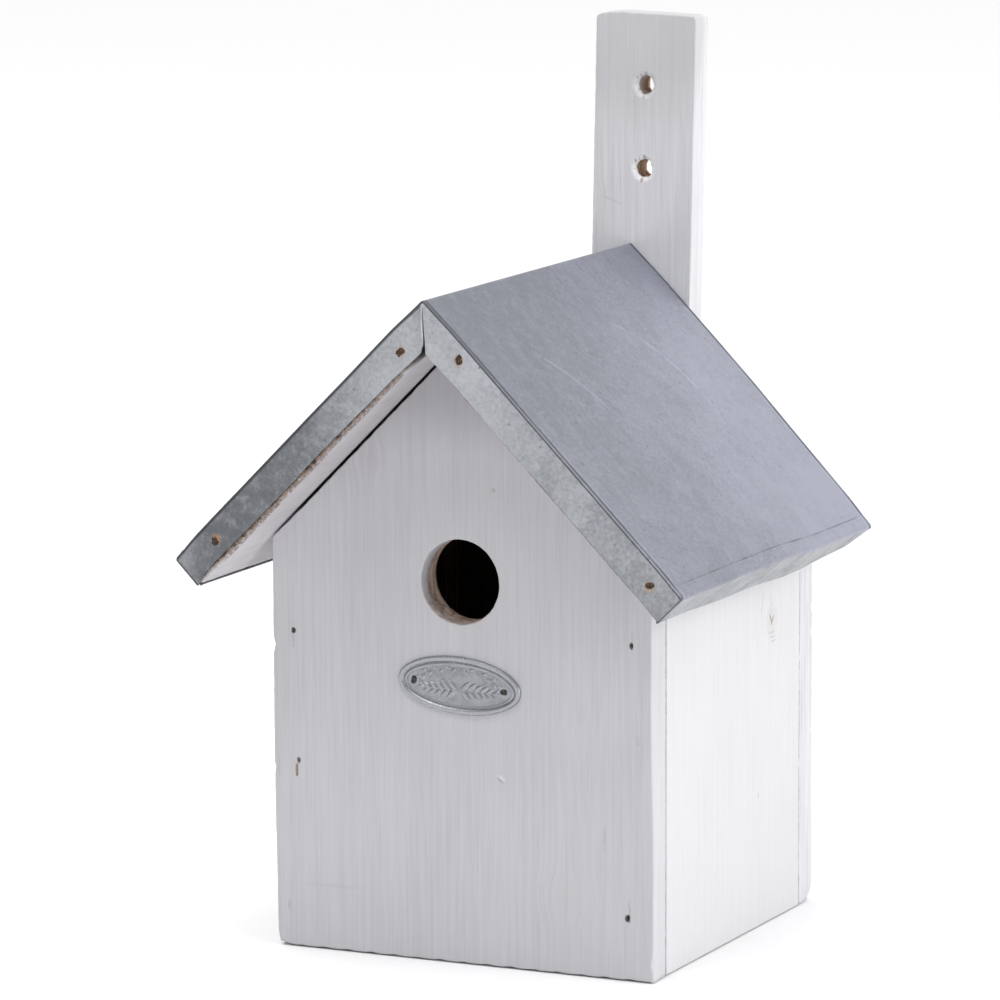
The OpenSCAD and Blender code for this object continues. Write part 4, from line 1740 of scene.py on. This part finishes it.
        bmesh.ops.remove_doubles(bm, verts=bm.verts, dist=self.merge)
        bmesh.ops.dissolve_degenerate(bm, edges=bm.edges, dist=self.merge / 2)
        bm.normal_update()
        top_face = max(bm.faces, key=lambda f: f.calc_area())
        if top_face.normal.z < 0:
            bmesh.ops.reverse_faces(bm, faces=bm.faces)
        materials = [self.top.material(), self.flanges.material()]
        piece = show("zinc_cover", bm, ["roof_cover"], materials)
        thicken = piece.modifiers.new("sheet", "SOLIDIFY")
        thicken.thickness = any_slope.sheet_t * MM
        thicken.offset = -1
        thicken.use_quality_normals = True
        set_modifiers(piece)

    def point(self, slope: Slope, column: Station, row: Station, front: float, rear: float) -> Vector:
        """The place of one vertex of the sheet's outer face.

        Args:
            slope: The slope that it is on.
            column: Its column, across the slope.
            row: Its row, along the ridge.
            front: The front flange's outer face.
            rear: The rear flange's outer face.

        Returns:
            The point in the frame.
        """
        side, out = slope.side, slope.fold_out
        inner, outer = slope.ridge_centre_s, slope.eave_s - out
        y, n = row.at, slope.skin_n - row.drop
        if column.part is Part.RIDGE:
            radius = out - row.drop
            s = slope.ridge_centre_s - radius * math.sin(column.turn)
            n = slope.fold_n + radius * math.cos(column.turn)
            return slope.at(s, y, n)
        s = self.column_s(column, row, slope, inner, outer)
        if column.part in (Part.FOLD, Part.FLANGE):
            s, drop = column.at, column.drop
            share = column.turn / (math.pi / 2)
            reach_front, reach_rear = front + self.corner_gap, rear - self.corner_gap
            if column.part is Part.FLANGE:
                deep = (drop - out) / (self.eave_flange[side] - out)
                if side is Side.RIGHT:
                    reach_front += self.front_clip * deep
                    reach_rear -= self.rear_clip * deep
                drop = self.eave_drop(column, slope, y)
                s -= self.eave_tuck * deep * (1 + ripple(Vector((0, y, 0)), 31, 2.0))
            n = slope.skin_n - drop
            old_front, old_rear = front + self.end_fold, rear - self.end_fold
            scaled = reach_front + (y - old_front) * (reach_rear - reach_front) / (old_rear - old_front)
            y += (scaled - y) * share
        if row.part is Part.FLANGE:
            depth = max(0.0, row.drop - out) / (self.end_flange - out)
            wave = 0.18 * ripple(Vector((s, 0, 0)), 27, 6.0 * side.value)
            toward = -1 if row.at < 0 else 1
            y += toward * depth * (self.splay + wave)
            if side is Side.LEFT and row.at < 0:
                y -= self.beak.at(s * COS + n * SIN) * smooth(1.4, 5, row.drop)
                ragged = self.hem * smooth(6, 40, s) * (1 + ripple(Vector((s, 3, 0)), 17, 4))
                low = self.low_hem * smooth(84, 110, s) * smooth(117, 113, s)
                n += depth * (ragged * smooth(117, 112, s) + low)
            y = max(front - self.most_front, min(y, rear + self.most_rear))
        return slope.warped(s, y, n, self.lift(side, column.at, row.at))


def set_modifiers(piece: Piece) -> None:
    """Puts a piece's modifiers into its mesh and marks its sharp edges.

    Args:
        piece: The piece.
    """
    evaluated = piece.evaluated_get(bpy.context.evaluated_depsgraph_get())
    mesh = bpy.data.meshes.new_from_object(evaluated)
    piece.modifiers.clear()
    piece.data = mesh
    mesh.set_sharp_from_angle(angle=SHARP)


@dataclass
class HangingBatten:
    """The leaning batten behind the box, with its two rough hanging holes."""

    sizes: BoxSizes
    width: float = 38.0
    thickness: float = 10.5
    length: float = 304.0
    lift: float = 2.5
    lean: float = math.radians(1.3)
    pivot: float = 50.0
    hole_down: float = 25.0
    hole_pitch: float = 29.0
    hole_radii: tuple[tuple[float, float], ...] = ((1.95, 2.5), (2.2, 2.4))
    worn: float = 1.0
    tears: tuple[Triple, ...] = ((0.4, 3.7, 1.5), (-0.6, -4.0, 1.3), (-2.9, 2.6, 0.9), (-1.6, 3.4, 0.8))
    nicks: tuple[tuple[float, float], ...] = ((-0.6, 4.4), (0.5, -4.6), (-1.9, 3.6), (2.2, 3.2))
    # White round the holes: the paint in the countersinks, made lighter as a painted highlight on their
    # rims.
    filler: Colour = (0.9, 0.9, 0.92)
    fibre: Colour = (0.33, 0.25, 0.19)

    def place(self, u: float, v: float, w: float) -> Vector:
        """From the batten's own axes, v up from the pivot and w back from its face, to the frame."""
        x, z = turned(u, v, self.lean)
        return Vector((x, self.sizes.back_y + w, self.pivot + z))

    def outline(self) -> list[tuple[float, float]]:
        """Corners of the batten, its upper left corner worn low and round.

        Returns:
            The corners, counterclockwise.
        """
        low = self.lift - self.pivot
        top = low + self.length
        half = self.width / 2
        corner = [(half, low), (half, top - 1.3), (half - 0.5, top - 0.45), (half - 1.4, top - 0.1)]
        crown = []
        for i in range(9):
            u = half - 3 - (self.width - 5) * i / 8
            crown.append((u, top - self.worn * smooth(-9, -half, u) ** 1.3))
        left = [(-half + 0.6, top - self.worn - 0.5), (-half, top - self.worn - 1.6), (-half, low)]
        return [*corner, *crown, *left]

    def hole_bare(self, _point: Vector, depth: float) -> float:
        """Raw wood inside, paint on the broken rim."""
        return smooth(1.0, 2.4, depth)

    def torn_rims(self, top: float) -> list[Mark]:
        """White rims and torn fibres round both holes, the white partly a painted highlight.

        Args:
            top: Height of the batten's top in its own axes.

        Returns:
            The marks.
        """
        marks = []
        for i in range(2):
            middle = self.place(0, top - self.hole_down - i * self.hole_pitch, 0)
            marks.append(Mark(tuple(middle), (5.2, 4, 5.6), self.filler, 0.95))
            for dx, dz, size in self.tears:
                spot = (middle.x + dx, middle.y, middle.z + dz)
                marks.append(Mark(spot, (0.55 * size, 2, size), self.fibre, 0.8))
        return marks

    def build(self) -> None:
        """Builds the batten."""
        top = self.lift - self.pivot + self.length
        holes = [
            Edge(
                ring((0, top - self.hole_down - i * self.hole_pitch), self.hole_radii[i], 64),
                arris=1.7, back_arris=0.4, wobble=0.7, saw=0.55, bare=self.hole_bare,
            )
            for i in range(2)
        ]
        chips = tuple(
            Chip((dx, top - self.hole_down - i * self.hole_pitch + dz, 0.2), 1.1, 1.5)
            for i in range(2)
            for dx, dz in self.nicks
        )
        face = self.sizes.back_y
        finish = WashedPine(
            "batten_wash", Grain.UPRIGHT, (0.675, 0.675, 0.70), (0.52, 0.515, 0.535), 0.65,
            knots=(Knot((-15, face, 241), 2.6, 0.1), Knot((9, face, 120), 5.0, 0.1)),
            marks=(
                *self.torn_rims(top),
                Mark((-7, face, 241), (5.5, 2, 0.5), STROKE, 0.35, (0, 0.35, 0)),
                Mark((-16, face, 296), (1.2, 2, 7), (0.44, 0.44, 0.46), 0.3),
            ),
            # Darker over the top of the batten.
            stains=(Mark((0, face, 312), (60, 12, 55), (0.45, 0.445, 0.46), 0.5),),
            raw_light=(0.5, 0.34, 0.23), raw_dark=(0.2, 0.115, 0.07),
        )
        board = Board(
            "batten_board", "painted_batten", "hanging_batten", self.place, self.thickness,
            Edge(dense(self.outline(), 1.4), arris=0.45, back_arris=0.5, wobble=0.16, saw=0.1),
            holes, chips, seed=21.0, back_bare=0.0,
        )
        board.build(finish.material())


@dataclass(frozen=True)
class Leaf:
    """A pressed leaf of the plate's sprig: its foot, its direction, length and width."""

    foot: tuple[float, float]
    turn: float
    length: float
    width: float

    def height(self, u: float, v: float) -> float:
        """Height of the leaf at a point, from 0 to 1, with a groove along its midrib.

        Args:
            u: Along the plate.
            v: Up the plate.

        Returns:
            The height.
        """
        along, across = turned(u - self.foot[0], v - self.foot[1], self.turn)
        along, across = along / self.length, abs(across)
        if not 0 < along < 1:
            return 0.0
        half = 0.5 * self.width * math.sin(math.pi * along ** 0.8) ** 0.9
        if across >= half:
            return 0.0
        body = math.sqrt(1 - (across / half) ** 2)
        ribs = 0.5 + 0.5 * math.cos(9 * math.tau * (along - across / 6))
        return body * (1 - 0.25 * hump(0, 0.1, across) - 0.1 * ribs)


@dataclass
class OvalPlate:
    """The pressed oval plate, with a plain rim and a leafy sprig."""

    sizes: BoxSizes
    half_w: float = 22.5
    half_h: float = 9.75
    field_h: float = 0.55
    rim_h: float = 1.0
    rim_w: float = 2.0
    up: float = 94.3
    left_of_middle: float = -0.6
    turn: float = math.radians(3)
    nail_in: float = 6.0
    relief: float = 0.4
    dent: float = 0.03
    tip: float = 12.3
    wreath_w: float = 14.6
    wreath_h: float = 5.9
    rings: int = 84
    spokes: int = 300

    def place(self, u: float, v: float, h: float) -> Vector:
        """From the plate's own axes, h out of the front panel, to the frame."""
        x, z = turned(u, v, self.turn)
        return Vector((self.left_of_middle + x, self.sizes.front_y - h, self.up + z))

    def leaves(self) -> list[Leaf]:
        """The sprig's leaves, in pairs along a gently curved stem, smaller towards its tips.

        Returns:
            The leaves.
        """
        leaves = []
        for side in (-1, 1):
            for i in range(5):
                u = side * (1.2 + 2.3 * i)
                size = 4.6 - 0.4 * i
                for way in (-1, 1):
                    spread = math.radians(48 - 4 * i)
                    heading = way * spread if side > 0 else math.pi - way * spread
                    leaves.append(Leaf((u, self.stem(u)), heading, size, 0.42 * size))
            u = side * self.tip
            leaves.append(Leaf((u, self.stem(u)), 0 if side > 0 else math.pi, 2.6, 1.2))
            for i in range(9):
                turn = side * math.radians(6 + 9.5 * i)
                foot = (self.wreath_w * math.sin(turn), self.wreath_h * math.cos(turn) - 0.3)
                run, fall = self.wreath_w * math.cos(turn) * side, self.wreath_h * math.sin(turn) * side
                tangent = math.atan2(-fall, run)
                leaves.append(Leaf(foot, tangent + side * (0.75 if i % 2 else -0.75), 2.0, 0.95))
        return leaves

    @staticmethod
    def stem(u: float) -> float:
        """Height of the stem's line along the plate."""
        return 0.4 * math.sin(u / 6.5) - 1.5

    def height(self, u: float, v: float, leaves: Sequence[Leaf]) -> tuple[float, float]:
        """Height of the plate's face and how hollow it is, at a point.

        Args:
            u: Along the plate.
            v: Up the plate.
            leaves: The sprig.

        Returns:
            The height above the panel and the hollowness from 0 to 1.
        """
        reach = math.hypot(u / self.half_w, v / self.half_h)
        slope = math.hypot(u / self.half_w ** 2, v / self.half_h ** 2) / max(reach, 1e-6)
        inside = (1 - reach) / max(slope, 1e-6)
        rim = smooth(0.0, 0.45, inside) * smooth(self.rim_w, self.rim_w - 0.55, inside)
        lip = 0.2 * hump(self.rim_w + 0.75, 0.22, inside)
        groove = -0.12 * hump(self.rim_w + 0.2, 0.25, inside)
        base = self.field_h * smooth(-0.2, 0.3, inside)
        sprig = max((leaf.height(u, v) for leaf in leaves), default=0.0)
        if abs(u) < 13:
            sprig = max(sprig, 0.7 * hump(self.stem(u), 0.22, v))
        within = smooth(self.rim_w + 0.6, self.rim_w + 1.6, inside)
        nail = min(math.hypot(u - side * (self.half_w - self.nail_in), v) for side in (-1, 1))
        clear = smooth(1.3, 2.4, nail)
        relief = self.relief * sprig * within * clear
        dent = self.dent * ripple(Vector((u, v, 0)), 2.4, 5.0)
        top = base + (self.rim_h - self.field_h) * rim + lip + groove + relief + dent * within
        near = 0.5 * hump(0.16, 0.16, sprig) * clear
        low = within * (0.14 * (1 - min(1.0, 2.2 * sprig * clear)) + near)
        low += 0.55 * hump(self.rim_w + 0.2, 0.28, inside)
        return min(top, self.rim_h), min(1.0, low)

    def build(self) -> None:
        """Builds the plate."""
        bm = bmesh.new()
        hollow = bm.verts.layers.float.new("hollow")
        leaves = self.leaves()

        def add(u: float, v: float) -> Vert:
            """Adds a vertex of the plate's face.

            Args:
                u: Along the plate.
                v: Up the plate.

            Returns:
                The vertex.
            """
            height, low = self.height(u, v, leaves)
            vert = bm.verts.new(self.place(u, v, height))
            vert[hollow] = low
            return vert

        turns = [math.tau * j / self.spokes for j in range(self.spokes)]
        centre = add(0, 0)
        loops = []
        for i in range(1, self.rings + 1):
            share = i / self.rings
            across, up = share * self.half_w, share * self.half_h
            loops.append([add(across * math.cos(t), up * math.sin(t)) for t in turns])
        foot = [self.place(self.half_w * math.cos(t), self.half_h * math.sin(t), 0) for t in turns]
        edge = [bm.verts.new(point) for point in foot]
        loops.append(edge)
        for j in range(self.spokes):
            k = (j + 1) % self.spokes
            bm.faces.new((centre, loops[0][j], loops[0][k])).smooth = True
            for near, far in zip(loops, loops[1:]):
                bm.faces.new((near[j], far[j], far[k], near[k])).smooth = True
        bm.faces.new(list(reversed(edge))).smooth = False
        bmesh.ops.recalc_face_normals(bm, faces=bm.faces)
        show("oval_badge", bm, ["oval_plate"], [PressedZinc("pressed_plate").material()])


@dataclass(frozen=True)
class Nail:
    """A driven nail: its head's place, the way that it points and its sizes."""

    head: Triple
    way: float
    head_r: float
    shank_r: float
    length: float
    head_h: float
    tilt: float
    seed: float

    def add(self, bm: Mesh, segments: int = 28) -> None:
        """Turns the nail into a mesh, its head a little crushed and crooked.

        Args:
            bm: The mesh that it goes into.
            segments: How many sides its sections have.
        """
        section = [
            (0.0, -self.head_h), (0.35, -self.head_h * 0.98), (0.66, -self.head_h * 0.86),
            (0.9, -self.head_h * 0.62), (1.0, -self.head_h * 0.34), (0.97, 0.0),
        ]
        rings = [[r * self.head_r, d] for r, d in section]
        rings += [[self.shank_r, 0.02], [self.shank_r, self.length - 3 * self.shank_r], [0.0, self.length]]
        made = []
        for number, (radius, depth) in enumerate(rings):
            verts = []
            for j in range(1 if radius == 0 else segments):
                turn = math.tau * j / segments
                bump = 1.08 + 0.2 * math.cos(2 * turn + self.seed)
                bump += 0.35 * ripple(Vector((math.cos(turn), math.sin(turn), 0.4 * depth)), 1.1, self.seed)
                r = radius * (bump if number < 6 else 1)
                x, z = r * math.cos(turn), r * math.sin(turn)
                y = depth
                if number < 5:
                    dent = 0.45 * self.head_h * (1 + 1.4 * ripple(Vector((x, z, 0)), 0.7, self.seed))
                    y = max(-self.head_h, min(0.0, depth + self.tilt * z + dent))
                verts.append(bm.verts.new((self.head[0] + x, self.head[1] + self.way * y, self.head[2] + z)))
            made.append(verts)
        for a, b in zip(made, made[1:]):
            for j in range(segments):
                k = (j + 1) % segments
                corners = [a[j % len(a)], a[k % len(a)], b[k % len(b)], b[j % len(b)]]
                bm.faces.new(list(dict.fromkeys(corners))).smooth = True


@dataclass
class Fasteners:
    """The nails, rebuilt with crooked heads, and the staples and screws, dressed as packed."""

    sizes: BoxSizes
    roof_head: tuple[float, float, float, float] = (1.4, 0.8, 16.0, 0.7)
    plate_head: tuple[float, float, float, float] = (1.1, 0.6, 10.1, 0.7)
    plate_t: float = 0.6

    @staticmethod
    def corners(node: str, radius: float, rising: bool) -> list[tuple[float, float]]:
        """The (x, z) of a node's two nails, from its box and their heads' radius.

        Args:
            node: The nails' CAD node.
            radius: The heads' radius.
            rising: True where the right nail is the higher one.

        Returns:
            The two places, left first.
        """
        low, high = span(node)
        left, right = low.x + radius, high.x - radius
        foot, top = low.z + radius, high.z - radius
        return [(left, foot), (right, top)] if rising else [(left, top), (right, foot)]

    def roof_spots(self, side: Side, end: str) -> list[Triple]:
        """The places of one node's two roof nails' heads, on the true plane of the cover's end."""
        spots = self.corners(f"{side.prefix}_{end}_roof_nails", self.roof_head[0], side is Side.LEFT)
        return [(x, span("roof_cover")[end == "rear"].y, z) for x, z in spots]

    def nails(
        self, name: str, node: str, spots: Sequence[Triple], way: float, head: tuple,
        material: Material,
    ) -> None:
        """Builds one node's nails.

        Args:
            name: The piece's name.
            node: The CAD node that it stands for.
            spots: The places under the heads.
            way: 1 where the nails point to +Y, -1 where they point to -Y.
            head: Head radius, shank radius, length and head height.
            material: The finish.
        """
        bm = bmesh.new()
        for number, spot in enumerate(spots):
            seed = 3.1 * number + len(name)
            Nail(spot, way, *head, 0.12 - 0.2 * (number % 2), seed).add(bm)
        bmesh.ops.recalc_face_normals(bm, faces=bm.faces)
        show(name, bm, [node], [material])

    def build(self) -> None:
        """Builds and dresses all the fasteners."""
        rusty = WeatheredIron("rusty_iron", (0.15, 0.075, 0.03), (0.022, 0.014, 0.01), 0.5, 0.1).material()
        dark = WeatheredIron("dark_iron", (0.14, 0.14, 0.145), (0.055, 0.05, 0.048), 0.5, 0.6).material()
        wire = WeatheredIron("staple_wire", (0.36, 0.35, 0.35), (0.13, 0.09, 0.07), 0.6, 0.5).material()
        plated = WeatheredIron("plated_steel", (0.62, 0.58, 0.46), (0.36, 0.32, 0.26), 0.36, 0.9).material()
        for end, way in (("front", 1.0), ("rear", -1.0)):
            for side in Side:
                node = f"{side.prefix}_{end}_roof_nails"
                spots = self.roof_spots(side, end)
                if end == "rear" and side is Side.RIGHT:
                    spots = [self.skewed(spot) for spot in spots]
                self.nails(f"{node}_heads", node, spots, way, self.roof_head, rusty)
        node = "plate_nails"
        y = self.sizes.front_y - self.plate_t
        left = OvalPlate.left_of_middle
        spots = [(left + x, y, z) for x, z in self.corners(node, self.plate_head[0], rising=False)]
        self.nails("plate_nail_heads", node, spots, 1.0, self.plate_head, dark)
        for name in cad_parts:
            if name.endswith("staples"):
                dress(name, wire)
        dress("batten_screws", plated)

    def skewed(self, spot: Triple) -> Triple:
        """A rear nail's place on the right slope, moved with the skewed end of the sheet.

        Args:
            spot: The place on the true plane.

        Returns:
            The place in the frame.
        """
        slope = Slope(Side.RIGHT, self.sizes)
        x, y, z = spot
        rise = self.sizes.gable_top - z
        moved = slope.warped(x * COS + rise * SIN, y, x * SIN - rise * COS)
        return (moved.x, moved.y, moved.z)


@dataclass
class Studio:
    """The plain pale floor, the soft lights and the camera."""

    target: Triple = (-13.844, 0.1, 146.671)
    azimuth: float = math.radians(25.1878)
    elevation: float = math.radians(9.3735)
    roll: float = math.radians(-0.1913)
    distance: float = 2166.49
    lens: float = 229.93
    floor_size: float = 12.0
    floor_drop: float = 0.0003
    sensor: float = 36.0
    aim: Triple = (0, 0, 0.12)

    def camera(self) -> None:
        """Sets the camera at the photograph's viewing angle."""
        az, el = self.azimuth, self.elevation
        back = Vector((math.sin(az) * math.cos(el), -math.cos(az) * math.cos(el), math.sin(el)))
        right = Vector((math.cos(az), math.sin(az), 0))
        up = back.cross(right)
        turned_right = math.cos(self.roll) * right + math.sin(self.roll) * up
        turned_up = math.cos(self.roll) * up - math.sin(self.roll) * right
        data = bpy.data.cameras.new("camera")
        data.lens = self.lens
        data.sensor_width = self.sensor
        data.clip_start, data.clip_end = 0.1, 100.0
        camera = bpy.data.objects.new("camera", data)
        rows = [(turned_right[i], turned_up[i], back[i], 0) for i in range(3)]
        camera.matrix_world = Matrix([*rows, (0, 0, 0, 1)])
        camera.location = (Vector(self.target) + back * self.distance) * MM
        bpy.context.scene.collection.objects.link(camera)
        bpy.context.scene.camera = camera

    def floor(self) -> None:
        """Lays the pale floor just under the box."""
        half = self.floor_size / 2
        mesh = bpy.data.meshes.new("studio_floor")
        corners = [(-half, -half, 0), (half, -half, 0), (half, half, 0), (-half, half, 0)]
        mesh.from_pydata(corners, [], [(0, 1, 2, 3)])
        floor = bpy.data.objects.new("studio_floor", mesh)
        floor.location = (0, 0, -self.floor_drop)
        g, material = Graph.of_material("pale_floor")
        tone = g.speckle(g.position(), 400, 2)
        colour = g.blend(tone, (0.955, 0.955, 0.96), (0.965, 0.965, 0.965))
        g.surface(Base_Color=colour, Roughness=0.9, Specular_IOR_Level=0.1)
        mesh.materials.append(material)
        bpy.context.scene.collection.objects.link(floor)

    def lamp(self, name: str, place: Triple, size: float, power: float) -> None:
        """Hangs a square soft light that faces the box.

        Args:
            name: The light's name.
            place: Its place in metres.
            size: Its side in metres.
            power: Its power in watts.
        """
        data = bpy.data.lights.new(name, "AREA")
        data.shape = "SQUARE"
        data.size = size
        data.energy = power
        light = bpy.data.objects.new(name, data)
        light.location = place
        aim = Vector(self.aim) - Vector(place)
        light.rotation_euler = aim.to_track_quat("-Z", "Y").to_euler()
        bpy.context.scene.collection.objects.link(light)

    def world(self) -> None:
        """Surrounds the box with white, less bright on the side that the entrance faces."""
        world = bpy.data.worlds.new("studio")
        world.use_nodes = True
        g = Graph(world.node_tree)
        way = g.node("TexCoord").outputs["Generated"]
        axes = g.node("SeparateXYZ", {0: way})
        behind = g.ramp(axes.outputs[1], -0.35, 0.25)
        right = g.ramp(axes.outputs[0], -0.5, 0.9)
        above = g.ramp(axes.outputs[2], 0.35, 0.8)
        strength = g.math("MULTIPLY_ADD", behind, 0.68, 0.32)
        strength = g.math("MULTIPLY_ADD", right, 0.08, strength)
        strength = g.math("MULTIPLY_ADD", above, 0.38, strength)
        background = g.node("Background", {0: (1.0, 1.0, 1.0, 1.0), 1: strength})
        g.node("OutputWorld", {0: background.outputs[0]})
        bpy.context.scene.world = world

    def build(self) -> None:
        """Sets up the whole studio."""
        self.camera()
        self.floor()
        self.lamp("right_softbox", (2.1, -0.35, 0.75), 1.6, 21.0)
        self.lamp("top_softbox", (-0.3, -1.0, 2.7), 1.3, 30.0)
        self.world()
        bpy.context.scene.view_settings.view_transform = "Standard"


def main() -> None:
    """Builds the box's pieces in order, then the studio."""
    logging.basicConfig(level=logging.INFO, format="%(message)s")
    sizes = BoxSizes.read()
    slopes = {side: Slope(side, sizes) for side in Side}
    fasteners = Fasteners(sizes)
    Walls(sizes, slopes[Side.RIGHT]).build()
    RoofBoards(slopes).build()
    scratches = (
        Scratch((13.9, 13.0), (36.0, 32.8), (59.3, 35.0)),
        Scratch((19.1, -48.1), (31.0, -38.6), (46.8, -32.4), strength=0.3),
    )
    peak = sizes.gable_top
    # Lit and shaded copies of one zinc: the top gets darker colours than the flanges, painted light and
    # shade.
    top = Zinc(
        "zinc_top", (0.36, 0.37, 0.445), (0.2, 0.214, 0.24), 0.05, 0.55, peak, scratches,
        weathered=0.42, clouds=0.4, grit=0.95,
    )
    rust = tuple(
        spot for end in ("front", "rear") for side in Side for spot in fasteners.roof_spots(side, end)
    )
    flanges = Zinc(
        "zinc_flanges", (0.57, 0.587, 0.627), (0.145, 0.155, 0.167), 0.05, 0.42, peak,
        rust=rust, shade_left=0.52, clouds=0.36, grit=0.6,
    )
    ZincCover(slopes, top=top, flanges=flanges).build()
    HangingBatten(sizes).build()
    OvalPlate(sizes).build()
    fasteners.build()
    Studio().build()


if __name__ == "__main__":
    main()
